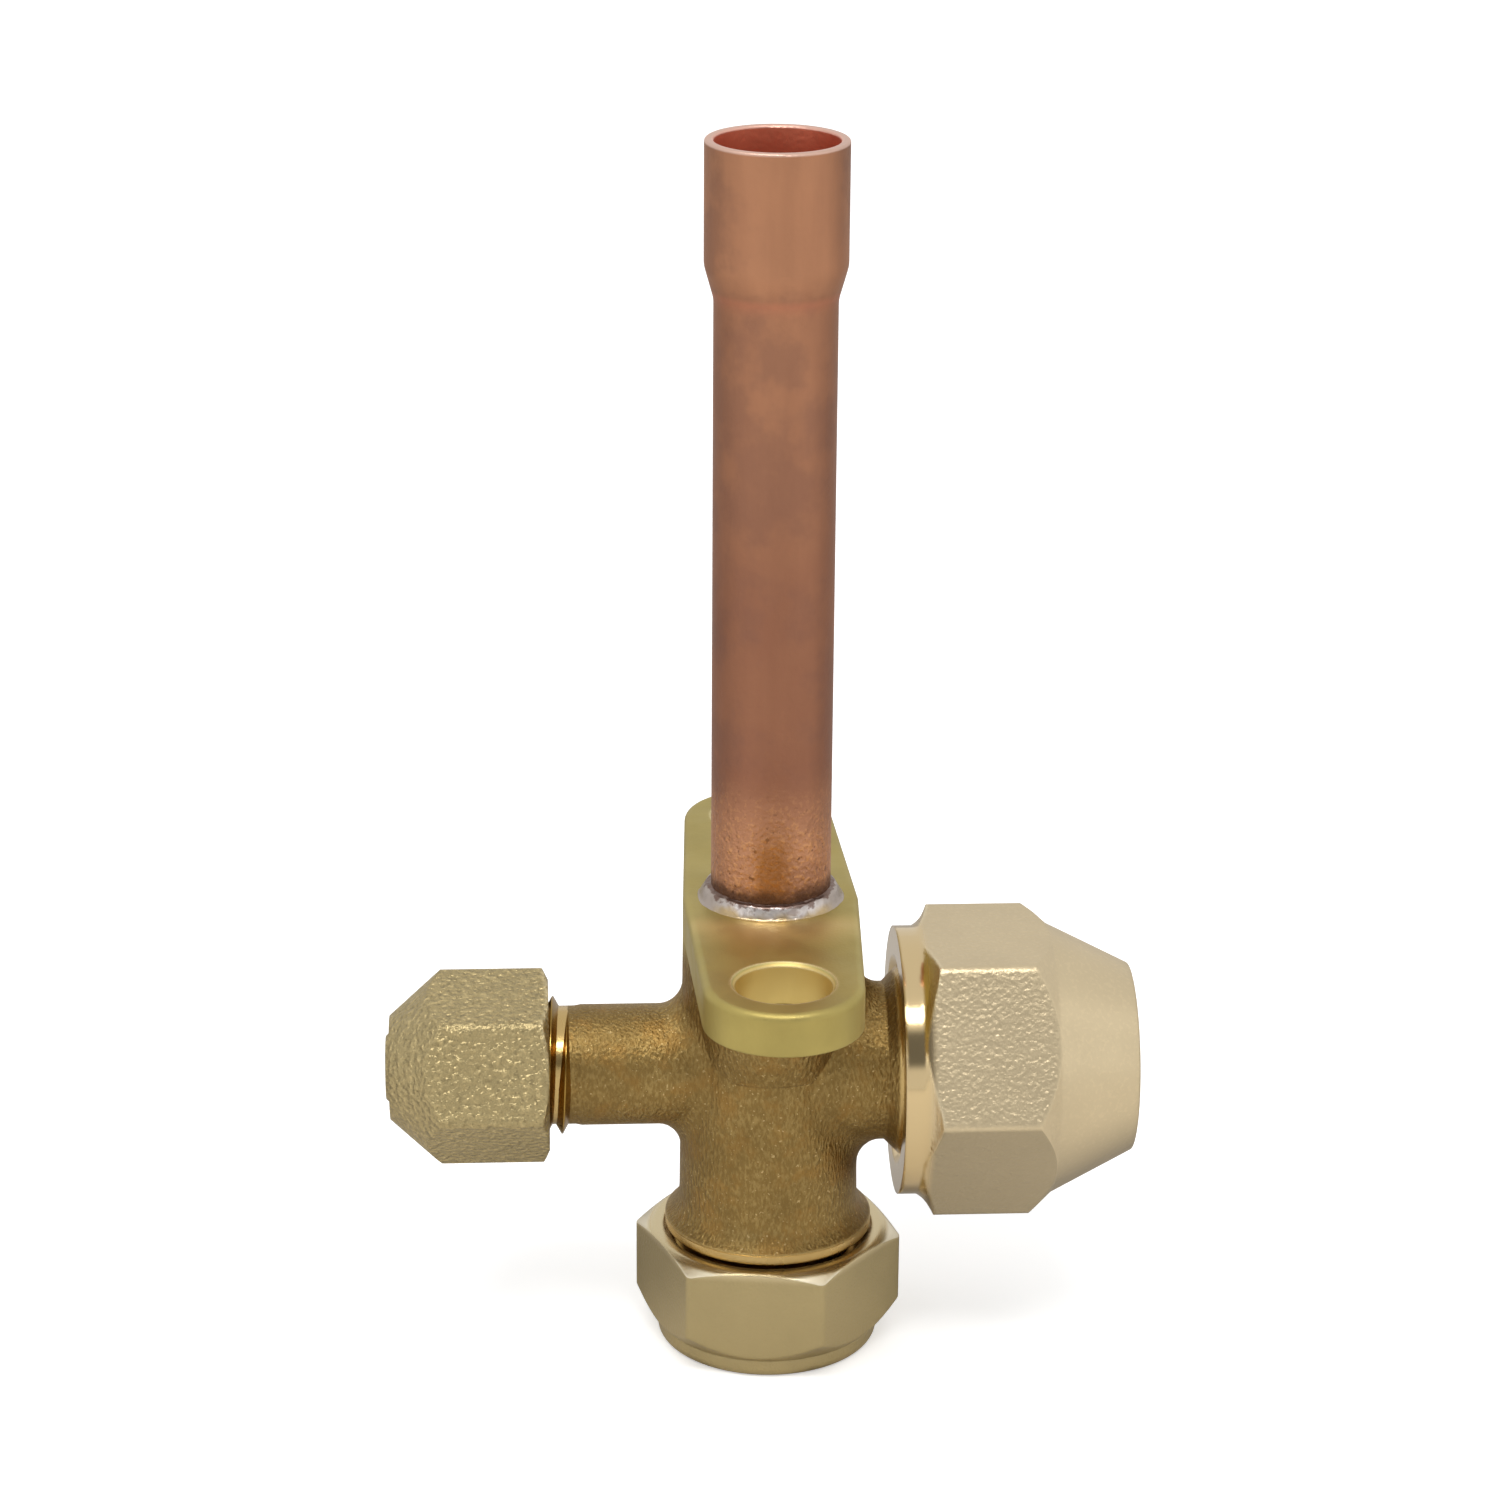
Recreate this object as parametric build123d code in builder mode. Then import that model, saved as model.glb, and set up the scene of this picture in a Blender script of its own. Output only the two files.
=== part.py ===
from build123d import *
import os
from math import acos, asin, atan, cos, degrees, radians, sin, tan

# Refrigerant service valve, three-way, for 3/8 inch pipe.
# Z runs up the copper stub, X runs from the service port (-X) to the flare port (+X), and the two
# mounting lugs lie along Y. The origin is the stub's axis on the mounting face. Millimetres.

os.makedirs("parts", exist_ok=True)

# ---------------------------------------------------------------- pipe and fits
pipe_od = 9.52            # 3/8 inch refrigeration pipe
pipe_wall = 0.7
pipe_slip = 0.04          # radial room of the stub's cup round the pipe it takes
braze_gap = 0.05          # radial room of the stub in the body's socket
run_gap = 0.05            # radial room of a piece that turns or slides in another
seat_gap = 0.05           # room left where a moving piece closes on a face
cut_past = 1.0            # how far a cut runs out beyond the face it starts from

# ---------------------------------------------------------------- copper stub
stub_height = 61.0        # mounting face to the stub's rim
stub_depth = 7.0          # length brazed inside the body
cup_length = 9.6          # rim to where the swaged cup starts to narrow
cup_taper = 2.6           # length of the cup's shoulder
cup_blend = 2.6           # radius of the shoulder's two bends
rim_round = 0.2
bead_width = 1.15         # braze bead, out from the stub
bead_height = 1.05        # braze bead, up the stub
bead_crown = 2.0          # radius of its rounded surface

# ---------------------------------------------------------------- forged body
face_radius = 7.0         # mounting plate at the stub
lug_radius = 6.2
lug_pitch = 35.0          # between the mounting holes
lug_hole = 7.5            # diameter
hole_bevel = 0.3
plate_thickness = 3.4
plate_edge = 0.6          # rounded top edge of the plate
web_radius = 6.6          # web under the plate, at the column
web_reach = 12.6          # half length of the web where it meets the plate
web_waist = 9.4           # half length of the web part way down
web_waist_depth = 3.4     # from the plate's underside
web_depth = 10.2          # from the plate's underside to where the web runs out
web_foot = 7.3            # half length of the web where it runs out
web_tip_radius = 6.0
neck_radius = 7.25        # column just above the stem end's shoulder
neck_blend = 2.6          # hollow curve from the neck to the shoulder
port_drop = 14.6          # mounting face to the axis of both ports
shoulder_radius = 8.4
shoulder_drop = 13.3      # ports' axis down to the shoulder's top
shoulder_height = 0.8
edge_bevel = 0.5          # first thread of each screwed end
arm_root = 12.0           # length of each arm beyond the column's axis, before it is turned
stem_end_drop = 21.5      # ports' axis down to the stem end's face

# ---------------------------------------------------------------- screw threads: major diameter, pitch
# Each male thread is carried as its core, and each nut is bored to the major diameter. The
# helical ridges fill the space between.
cap_thread, cap_pitch = 16.0, 1.5
service_thread, service_pitch = 11.11, 1.27
flare_thread, flare_pitch = 15.875, 1.411
stem_thread, stem_pitch = 10.0, 1.0
ridge_share = 0.6134      # height of a ridge over its pitch

# ---------------------------------------------------------------- service port, along -X
service_arm = 9.74        # diameter
service_blend = 2.3
service_thread_start = 15.7
service_tip = 26.9
service_tip_radius = 2.9

# ---------------------------------------------------------------- flare port, along +X
flare_arm = 12.8          # diameter
flare_blend = 2.4
flare_arm_end = 9.2
flare_thread_start = 10.4
flare_thread_end = 20.4
flare_seat_edge = 0.17    # flat left round the large end of the 45 degree seat
flare_tip_radius = 3.9
flare_shoulder_radius = 7.6
flare_shoulder_width = 0.5

# ---------------------------------------------------------------- waterways
port_bore = 3.5           # radius
seat_rise = 5.0           # ports' axis up to the sharp edge of the valve seat
chamber_radius = 4.6
chamber_drop = 3.4        # ports' axis down to where the stem's thread starts
stem_thread_length = 7.4  # down to the smooth gland
gland_radius = 5.3

# ---------------------------------------------------------------- stem
stem_travel = 4.2
stem_tip_radius = 2.9
stem_head_radius = 4.2
stem_head_length = 1.9
stem_waist_radius = 2.2
stem_length = 21.55       # nose to key end
stem_key = 5.0            # hexagon key, across flats
stem_key_depth = 5.0
thread_relief = 0.2       # plain run between the stem's thread and the steps beside it
ring_section = 1.4        # stem O-ring
ring_gap = 0.03           # radial room of an O-ring, in the gland and on its groove
ring_groove = 1.6
ring_tops = (0.5, 2.9)    # grooves, below the top of the stem's land
clip_thickness = 0.55
clip_bite = 0.5           # depth of the clip's groove in the gland
clip_width = 1.15
clip_opening = 50.0       # degrees

# ---------------------------------------------------------------- stem cap
cap_flats = 19.0
cap_turn = 50.8           # degrees, a corner from +X about Z
cap_stand_off = 0.3       # shoulder to the cap's mouth
cap_land = 9.3            # outer radius of the flat ring round the mouth
cap_bevel = 24.0          # degrees, of the corners round the mouth
cap_corner_run = 6.1      # mouth to where the lower bevel meets the corners
cap_foot_radius = 9.0
cap_foot_run = 8.0        # mouth to the groove above the foot
cap_foot_step = 0.1
cap_length = 9.6
cap_foot_round = 0.7
cap_floor = 1.6
cap_seal_thickness = 0.8
cap_seal_width = 1.9
cap_mouth_bevel = 0.5

# ---------------------------------------------------------------- service cap
service_cap_flats = 13.8
service_cap_turn = 12.0   # degrees, a corner from +Y about X
service_cap_mouth = 17.8
service_cap_length = 12.78
service_cap_cone = 4.25   # length of the closed end's cone
service_cap_end_radius = 4.2
service_cap_bevel = 0.55  # round the mouth, along X
service_cap_slope = 1.1   # and the same bevel's depth into the corners
service_pip_radius = 2.55
service_pip_height = 0.32
service_seal_thickness = 1.4
service_seal_radius = 3.4
service_seal_wall = 0.4   # length of the cap's wall round the seal

# ---------------------------------------------------------------- flare nut
nut_flats = 22.0
nut_turn = 1.5            # degrees, a corner from +Y about X
nut_mouth = 10.2
nut_length = 18.96
nut_collar_radius = 10.86
nut_collar_width = 1.5
nut_neck = 1.35           # hollow run from the collar up to the corners
nut_neck_blend = 2.6
nut_corner_end = 20.6
nut_cone_start = 22.5
nut_cone_radius = 10.95
nut_end_radius = 7.62
nut_pipe_gap = 0.11       # radial room round the pipe
nut_seat_gap = 1.15       # room along X for the pipe's flare
nut_mouth_bevel = 0.5
corner_round = 0.7        # forged corners of all three hexagons

# ---------------------------------------------------------------- valve core, measured inwards from the tip
core_thread = 2.66        # radius of the port's bore at the core's thread
core_thread_end = 5.2
core_bore = 2.30          # radius past the core's taper seat
core_taper_end = 7.4
head_start, head_end = 0.9, 4.2
head_tongue = 2.4
head_slot = 1.4
head_bore = 1.15
barrel_end = 9.6
barrel_cavity = 1.45
barrel_floor = 1.2
barrel_floor_hole = 0.8
gasket_start, gasket_end = 5.3, 7.3
gasket_groove = 1.75
lip_radius = 1.25
lip_height = 1.0
pin_radius = 0.55
pin_start, pin_end = 0.35, 12.6
pin_collar_radius = 1.0
pin_collar = (2.9, 3.5)
pin_head_radius = 1.0     # swaged over behind the cup
cup_start, cup_end = 9.95, 11.4
cup_radius = 1.75
pad_radius = 1.45
pad_thickness = 1.2
spring_wire = 0.28
spring_turns = 5.5
pin_travel = 1.6

# ---------------------------------------------------------------- worked out from the above
pipe_radius = pipe_od / 2
stub_bore = pipe_radius - pipe_wall
cup_bore = pipe_radius + pipe_slip
socket_radius = pipe_radius + braze_gap
lug_offset = lug_pitch / 2
plate_bottom = -plate_thickness


def core_radius(major, pitch):
    """Radius left under a male thread's ridges."""
    return major / 2 - ridge_share * pitch


def nut_bore(major):
    """Radius that a nut is bored to, over the ridges of the thread it takes."""
    return major / 2 + run_gap


cup_outside = cup_bore + pipe_wall
cup_lean = atan((cup_outside - pipe_radius) / cup_taper)
cup_lag = pipe_wall * tan(cup_lean / 2)  # the inner bends sit higher, which keeps the wall even

cap_core = core_radius(cap_thread, cap_pitch)
service_core = core_radius(service_thread, service_pitch)
flare_core = core_radius(flare_thread, flare_pitch)
stem_core = stem_thread / 2
cap_bore = nut_bore(cap_thread)
service_cap_bore = nut_bore(service_thread)
flare_bore = nut_bore(flare_thread)
stem_bore = nut_bore(stem_thread)
flare_seat_radius = flare_core - flare_seat_edge
flare_tip = flare_thread_end + flare_seat_radius - flare_tip_radius

# column, below the mounting face
seat_drop = port_drop - seat_rise
chamber_floor = port_drop + chamber_drop
gland_top = chamber_floor + stem_thread_length
shoulder_top = port_drop + shoulder_drop
shoulder_bottom = shoulder_top + shoulder_height
body_length = port_drop + stem_end_drop

# stem, closed on its seat; heights are below the mounting face
nose_gap = seat_gap / sin(radians(45))
stem_top = seat_drop - (port_bore - stem_tip_radius) + nose_gap
stem_head_top = stem_top + (stem_head_radius - stem_tip_radius)
stem_bottom = stem_top + stem_length
stem_screw_top = chamber_floor + thread_relief
stem_land_top = gland_top + thread_relief
land_radius = gland_radius - run_gap
ring_radius = gland_radius - ring_gap - ring_section / 2
ring_seat = ring_radius - ring_section / 2 - ring_gap
clip_top = stem_bottom + stem_travel + seat_gap
clip_bottom = clip_top + clip_thickness + 2 * seat_gap
clip_seat = gland_radius + clip_bite
clip_outside = clip_seat - run_gap

# stem cap
cap_top = shoulder_bottom + cap_stand_off
cap_bottom = cap_top + cap_length
cap_corner_end = cap_top + cap_corner_run
cap_foot_top = cap_top + cap_foot_run
cap_corner = cap_flats / 2 / cos(radians(30))
cap_corner_top = cap_top + (cap_corner - cap_land) * tan(radians(cap_bevel))
cap_mouth = cap_bore + cap_mouth_bevel

# service cap
service_cap_end = service_cap_mouth + service_cap_length
service_cap_corner = service_cap_flats / 2 / cos(radians(30))
service_seal_room = service_seal_radius + run_gap
service_seal_back = service_tip + service_seal_thickness + 2 * seat_gap
service_cap_cone_foot = service_seal_back - service_seal_wall

# valve core
head_radius = core_thread - run_gap
barrel_radius = core_bore - run_gap
pin_hole = pin_radius + run_gap
spring_radius = (pin_radius + head_bore) / 2
spring_front = pin_collar[1] + seat_gap + spring_wire / 2
spring_back = barrel_end - lip_height - barrel_floor - seat_gap - spring_wire / 2
spring_length = spring_back - spring_front

# flare nut
nut_end = nut_mouth + nut_length
nut_corner = nut_flats / 2 / cos(radians(30))
pipe_hole = pipe_radius + nut_pipe_gap
nut_seat_foot = flare_thread_end + nut_seat_gap + (flare_seat_radius - pipe_hole)

PORT_AXIS = Axis((0, 0, -port_drop), (1, 0, 0))


def core_taper(depth):
    """Radius of the port's bore along the taper that the core's gasket seals on."""
    share = (depth - core_thread_end) / (core_taper_end - core_thread_end)
    return core_thread + (core_bore - core_thread) * share


def profile(points):
    """A closed outline of straight runs."""
    with BuildSketch() as outline:
        with BuildLine():
            Polyline(*points, close=True)
        make_face()
    return outline.sketch


def port_profile(points):
    """A closed outline of (x, radius) points, beside the ports' axis."""
    return profile([(x, radius - port_drop) for x, radius in points])


def hexagon(flats, turn):
    """A hexagon with forged, slightly rounded corners."""
    with BuildSketch() as outline:
        RegularPolygon(flats / 2, 6, major_radius=False, rotation=turn)
        fillet(outline.vertices(), corner_round)
    return outline.sketch


def plate_outline(radius, tip_radius, offset):
    """A round centre and two smaller round ends along Y, joined by their tangents."""
    lean = asin((radius - tip_radius) / offset)
    near = (radius * cos(lean), radius * sin(lean))
    far = (tip_radius * cos(lean), offset + tip_radius * sin(lean))
    with BuildSketch() as outline:
        Circle(radius)
        with Locations((0, offset), (0, -offset)):
            Circle(tip_radius)
        with BuildLine():
            Polyline(
                near, far, (-far[0], far[1]), (-near[0], near[1]),
                (-near[0], -near[1]), (-far[0], -far[1]), (far[0], -far[1]), (near[0], -near[1]),
                close=True,
            )
        make_face()
    return outline.sketch


# ---------------------------------------------------------------- valve body, one forging
neck_turn = degrees(acos(1 - (shoulder_radius - neck_radius) / neck_blend))
neck_end = shoulder_top - neck_blend * sin(radians(neck_turn))

with BuildPart() as valve_body:
    with BuildSketch(Plane.XZ):
        with BuildLine():
            Line((0, plate_bottom), (face_radius, plate_bottom))
            Line((face_radius, plate_bottom), (neck_radius, -neck_end))
            hollow = JernArc((neck_radius, -neck_end), (0, -1), neck_blend, neck_turn)
            Polyline(
                hollow @ 1,
                (shoulder_radius, -shoulder_bottom),
                (cap_core, -shoulder_bottom),
                (cap_core, edge_bevel - body_length),
                (cap_core - edge_bevel, -body_length),
                (0, -body_length),
                (0, plate_bottom),
            )
        make_face()
    revolve(axis=Axis.Z)
    with BuildSketch(Plane.XZ):
        add(port_profile([(-arm_root, 0), (-arm_root, service_arm / 2), (0, service_arm / 2), (0, 0)]))
        add(port_profile([(0, 0), (0, flare_arm / 2), (arm_root, flare_arm / 2), (arm_root, 0)]))
    revolve(axis=PORT_AXIS)
    roots = valve_body.edges().filter_by(GeomType.BSPLINE)
    fillet(roots.filter_by(lambda e: e.center().X < 0), service_blend)
    roots = valve_body.edges().filter_by(GeomType.BSPLINE)
    fillet(roots.filter_by(lambda e: e.center().X > 0 and e.length > flare_arm), flare_blend)
    # mounting plate, and the web that carries its lugs
    with BuildSketch():
        add(plate_outline(face_radius, lug_radius, lug_offset))
    extrude(amount=-plate_thickness)
    fillet(valve_body.edges().group_by(Axis.Z)[-1], plate_edge)
    for reach, waist, top, bottom in (
        (web_reach, web_waist, 0, web_waist_depth),
        (web_waist, web_foot, web_waist_depth, web_depth),
    ):
        with BuildSketch(Plane.XY.offset(plate_bottom - top)):
            add(plate_outline(web_radius, web_tip_radius, reach - web_tip_radius))
        with BuildSketch(Plane.XY.offset(plate_bottom - bottom)):
            add(plate_outline(web_radius, web_tip_radius, waist - web_tip_radius))
        loft()
    # screwed ends of the two ports
    with BuildSketch(Plane.XZ):
        add(port_profile([
            (-arm_root, 0), (-arm_root, service_arm / 2),
            (edge_bevel - service_thread_start, service_arm / 2), (-service_thread_start, service_core),
            (service_core - service_tip_radius - service_tip, service_core),
            (-service_tip, service_tip_radius), (-service_tip, 0),
        ]))
        add(port_profile([
            (arm_root, 0), (arm_root, flare_arm / 2), (flare_arm_end, flare_arm / 2),
            (flare_thread_start, flare_shoulder_radius),
            (flare_thread_start + flare_shoulder_width, flare_shoulder_radius),
            (flare_thread_start + 2 * flare_shoulder_width, flare_core), (flare_thread_end, flare_core),
            (flare_thread_end, flare_seat_radius), (flare_tip, flare_tip_radius), (flare_tip, 0),
        ]))
    revolve(axis=PORT_AXIS)
    # socket, valve seat, chamber, stem thread and gland, down the column
    with BuildSketch(Plane.XZ):
        add(profile([
            (0, cut_past), (socket_radius, cut_past), (socket_radius, -stub_depth), (port_bore, -stub_depth),
            (port_bore, -seat_drop), (chamber_radius, -seat_drop - (chamber_radius - port_bore)),
            (chamber_radius, -chamber_floor), (stem_bore, -chamber_floor), (stem_bore, -gland_top),
            (gland_radius, -gland_top), (gland_radius, -clip_top), (clip_seat, -clip_top),
            (clip_seat, -clip_bottom), (gland_radius, -clip_bottom),
            (gland_radius, -body_length - cut_past), (0, -body_length - cut_past),
        ]))
    revolve(axis=Axis.Z, mode=Mode.SUBTRACT)
    # waterways of the two ports, the service one bored for its valve core
    with BuildSketch(Plane.XZ):
        add(port_profile([
            (0, 0), (0, core_bore), (core_taper_end - service_tip, core_bore),
            (core_thread_end - service_tip, core_thread), (-service_tip - cut_past, core_thread),
            (-service_tip - cut_past, 0),
        ]))
        add(port_profile([
            (0, 0), (0, port_bore), (flare_tip + cut_past, port_bore), (flare_tip + cut_past, 0),
        ]))
    revolve(axis=PORT_AXIS, mode=Mode.SUBTRACT)
    with Locations((0, lug_offset, 0), (0, -lug_offset, 0)):
        Hole(lug_hole / 2)
    mouths = valve_body.edges().filter_by(GeomType.CIRCLE).group_by(Axis.Z)[-1]
    mouths = mouths.filter_by(lambda edge: edge.is_closed).sort_by(Axis.Y)
    chamfer([mouths[0], mouths[-1]], hole_bevel)
valve_body.part.label = "valve_body"
export_step(valve_body.part, "parts/valve_body.step")

# ---------------------------------------------------------------- copper stub and its braze
with BuildPart() as copper_stub:
    with BuildSketch(Plane.XZ):
        with BuildLine():
            cup_bottom = stub_height - cup_length
            outside = FilletPolyline(
                (pipe_radius, -stub_depth), (pipe_radius, cup_bottom - cup_taper),
                (cup_outside, cup_bottom), (cup_outside, stub_height),
                radius=cup_blend,
            )
            inside = FilletPolyline(
                (stub_bore, -stub_depth), (stub_bore, cup_bottom - cup_taper + cup_lag),
                (cup_bore, cup_bottom + cup_lag), (cup_bore, stub_height),
                radius=cup_blend,
            )
            Line(outside @ 0, inside @ 0)
            Line(outside @ 1, inside @ 1)
        make_face()
    revolve(axis=Axis.Z)
    fillet(copper_stub.edges().group_by(Axis.Z)[-1], rim_round)
copper_stub.part.label = "copper_stub"
export_step(copper_stub.part, "parts/copper_stub.step")

with BuildPart() as braze_bead:
    with BuildSketch(Plane.XZ):
        with BuildLine():
            foot = (pipe_radius + bead_width, 0)
            crest = (pipe_radius, bead_height)
            RadiusArc(foot, crest, -bead_crown)
            Polyline(crest, (pipe_radius, 0), foot)
        make_face()
    revolve(axis=Axis.Z)
braze_bead.part.label = "braze_bead"
export_step(braze_bead.part, "parts/braze_bead.step")

# ---------------------------------------------------------------- stem, its O-rings and its clip
with BuildPart() as valve_stem:
    with BuildSketch(Plane.XZ):
        outline = [(0, -stem_top), (stem_tip_radius, -stem_top), (stem_head_radius, -stem_head_top)]
        outline += [(stem_head_radius, -stem_head_top - stem_head_length)]
        outline += [(stem_waist_radius, -stem_head_top - stem_head_length)]
        outline += [(stem_waist_radius, -stem_screw_top), (stem_core, -stem_screw_top)]
        outline += [(stem_core, -stem_land_top), (land_radius, -stem_land_top)]
        for top in ring_tops:
            groove_top = -stem_land_top - top
            outline += [(land_radius, groove_top), (ring_seat, groove_top)]
            outline += [(ring_seat, groove_top - ring_groove), (land_radius, groove_top - ring_groove)]
        outline += [(land_radius, -stem_bottom), (0, -stem_bottom)]
        add(profile(outline))
    revolve(axis=Axis.Z)
    with BuildSketch(Plane.XY.offset(-stem_bottom)):
        RegularPolygon(stem_key / 2, 6, major_radius=False)
    extrude(amount=stem_key_depth, mode=Mode.SUBTRACT)
valve_stem.part.label = "valve_stem"
export_step(valve_stem.part, "parts/valve_stem.step")

for number, top in enumerate(ring_tops, start=1):
    middle = -stem_land_top - top - ring_groove / 2
    with BuildPart() as stem_ring:
        with BuildSketch(Plane.XZ):
            with Locations((ring_radius, middle)):
                Circle(ring_section / 2)
        revolve(axis=Axis.Z)
    stem_ring.part.label = f"stem_o_ring_{number}"
    export_step(stem_ring.part, f"parts/stem_o_ring_{number}.step")

with BuildPart() as stem_clip:
    with BuildSketch(Plane.XY.offset(seat_gap - clip_bottom)):
        Circle(clip_outside)
        Circle(clip_outside - clip_width, mode=Mode.SUBTRACT)
        with BuildLine():
            reach = 2 * clip_outside
            spread = reach * tan(radians(clip_opening / 2))
            Polyline((0, 0), (reach, spread), (reach, -spread), close=True)
        make_face(mode=Mode.SUBTRACT)
    extrude(amount=clip_thickness)
stem_clip.part.label = "stem_clip"
export_step(stem_clip.part, "parts/stem_clip.step")

# ---------------------------------------------------------------- stem cap and its seal
with BuildPart() as stem_cap:
    with BuildSketch(Plane.XY.offset(-cap_top)):
        add(hexagon(cap_flats, cap_turn))
    extrude(amount=-cap_length)
    with BuildSketch(Plane.XZ):
        add(profile([
            (0, -cap_top), (cap_land, -cap_top), (cap_corner, -cap_corner_top),
            (cap_corner, -cap_corner_end), (cap_foot_radius + cap_foot_step, -cap_foot_top),
            (cap_foot_radius - cap_foot_step, -cap_foot_top),
            (cap_foot_radius, -cap_foot_top - cap_foot_step), (cap_foot_radius, -cap_bottom),
            (0, -cap_bottom),
        ]))
    revolve(axis=Axis.Z, mode=Mode.INTERSECT)
    fillet(stem_cap.edges().group_by(Axis.Z)[0], cap_foot_round)
    with BuildSketch(Plane.XZ):
        add(profile([
            (0, cut_past - cap_top), (cap_mouth, cut_past - cap_top), (cap_mouth, -cap_top),
            (cap_bore, -cap_top - cap_mouth_bevel), (cap_bore, cap_floor - cap_bottom),
            (0, cap_floor - cap_bottom),
        ]))
    revolve(axis=Axis.Z, mode=Mode.SUBTRACT)
stem_cap.part.label = "stem_cap"
export_step(stem_cap.part, "parts/stem_cap.step")

with BuildPart() as stem_cap_seal:
    with BuildSketch(Plane.XY.offset(seat_gap + cap_floor - cap_bottom)):
        Circle(cap_core)
        Circle(cap_core - cap_seal_width, mode=Mode.SUBTRACT)
    extrude(amount=cap_seal_thickness)
stem_cap_seal.part.label = "stem_cap_seal"
export_step(stem_cap_seal.part, "parts/stem_cap_seal.step")

# ---------------------------------------------------------------- service cap and its seal
with BuildPart() as service_cap:
    with BuildSketch(Plane.YZ.offset(-service_cap_mouth)):
        with Locations((0, -port_drop)):
            add(hexagon(service_cap_flats, service_cap_turn))
    extrude(amount=-service_cap_length)
    with BuildSketch(Plane.XZ):
        add(port_profile([
            (-service_cap_mouth, 0), (-service_cap_mouth, service_cap_corner - service_cap_slope),
            (-service_cap_mouth - service_cap_bevel, service_cap_corner),
            (service_cap_cone - service_cap_end, service_cap_corner),
            (-service_cap_end, service_cap_end_radius), (-service_cap_end, 0),
        ]))
    revolve(axis=PORT_AXIS, mode=Mode.INTERSECT)
    with BuildSketch(Plane.XZ):
        add(port_profile([
            (-service_cap_end, 0), (-service_cap_end, service_pip_radius + service_pip_height),
            (-service_cap_end - service_pip_height, service_pip_radius),
            (-service_cap_end - service_pip_height, 0),
        ]))
    revolve(axis=PORT_AXIS)
    with BuildSketch(Plane.XZ):
        add(port_profile([
            (cut_past - service_cap_mouth, 0),
            (cut_past - service_cap_mouth, service_cap_bore + service_cap_bevel),
            (-service_cap_mouth, service_cap_bore + service_cap_bevel),
            (-service_cap_mouth - service_cap_bevel, service_cap_bore),
            (service_cap_bore - service_seal_room - service_cap_cone_foot, service_cap_bore),
            (-service_cap_cone_foot, service_seal_room), (-service_seal_back, service_seal_room),
            (-service_seal_back, 0),
        ]))
    revolve(axis=PORT_AXIS, mode=Mode.SUBTRACT)
service_cap.part.label = "service_cap"
export_step(service_cap.part, "parts/service_cap.step")

with BuildPart() as service_cap_seal:
    with BuildSketch(Plane.YZ.offset(-service_tip - seat_gap)):
        with Locations((0, -port_drop)):
            Circle(service_seal_radius)
    extrude(amount=-service_seal_thickness)
service_cap_seal.part.label = "service_cap_seal"
export_step(service_cap_seal.part, "parts/service_cap_seal.step")

# ---------------------------------------------------------------- flare nut
with BuildPart() as flare_nut:
    with BuildSketch(Plane.YZ.offset(nut_mouth)):
        with Locations((0, -port_drop)):
            add(hexagon(nut_flats, nut_turn))
    extrude(amount=nut_length)
    with BuildSketch(Plane.XZ):
        with BuildLine():
            collar_end = (nut_mouth + nut_collar_width, nut_collar_radius - port_drop)
            corner = (nut_mouth + nut_collar_width + nut_neck, nut_corner - port_drop)
            Polyline((nut_mouth, -port_drop), (nut_mouth, nut_collar_radius - port_drop), collar_end)
            RadiusArc(collar_end, corner, -nut_neck_blend)
            Polyline(
                corner, (nut_corner_end, nut_corner - port_drop),
                (nut_cone_start, nut_cone_radius - port_drop), (nut_end, nut_end_radius - port_drop),
                (nut_end, -port_drop), (nut_mouth, -port_drop),
            )
        make_face()
    revolve(axis=PORT_AXIS, mode=Mode.INTERSECT)
    with BuildSketch(Plane.XZ):
        add(port_profile([
            (nut_mouth - cut_past, 0), (nut_mouth - cut_past, flare_bore + nut_mouth_bevel),
            (nut_mouth, flare_bore + nut_mouth_bevel), (nut_mouth + nut_mouth_bevel, flare_bore),
            (nut_seat_foot - (flare_bore - pipe_hole), flare_bore), (nut_seat_foot, pipe_hole),
            (nut_end + cut_past, pipe_hole), (nut_end + cut_past, 0),
        ]))
    revolve(axis=PORT_AXIS, mode=Mode.SUBTRACT)
flare_nut.part.label = "flare_nut"
export_step(flare_nut.part, "parts/flare_nut.step")

# ---------------------------------------------------------------- valve core
# Depths run inwards from the port's tip, so x = depth - service_tip.


def core_profile(points):
    """A closed outline of (depth, radius) points, beside the core's axis."""
    return port_profile([(depth - service_tip, radius) for depth, radius in points])


with BuildPart() as core_head:
    with BuildSketch(Plane.XZ):
        add(core_profile([
            (head_start, head_bore), (head_start, head_radius),
            (head_end, head_radius), (head_end, head_bore),
        ]))
    revolve(axis=PORT_AXIS)
    with BuildSketch(Plane.YZ.offset(head_start - service_tip)):
        with Locations((0, head_tongue - port_drop), (0, -head_tongue - port_drop)):
            Rectangle(4 * head_radius, head_tongue)
    extrude(amount=head_slot, mode=Mode.SUBTRACT)
core_head.part.label = "core_head"
export_step(core_head.part, "parts/core_head.step")

with BuildPart() as core_barrel:
    with BuildSketch(Plane.XZ):
        floor_top = barrel_end - lip_height - barrel_floor
        add(core_profile([
            (head_end + seat_gap, barrel_cavity), (head_end + seat_gap, barrel_radius),
            (gasket_start, barrel_radius), (gasket_start, gasket_groove),
            (gasket_end, gasket_groove), (gasket_end, barrel_radius - run_gap),
            (barrel_end - lip_height, barrel_radius - run_gap), (barrel_end - lip_height, lip_radius),
            (barrel_end, lip_radius), (barrel_end, barrel_floor_hole),
            (floor_top, barrel_floor_hole), (floor_top, barrel_cavity),
        ]))
    revolve(axis=PORT_AXIS)
core_barrel.part.label = "core_barrel"
export_step(core_barrel.part, "parts/core_barrel.step")

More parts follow.
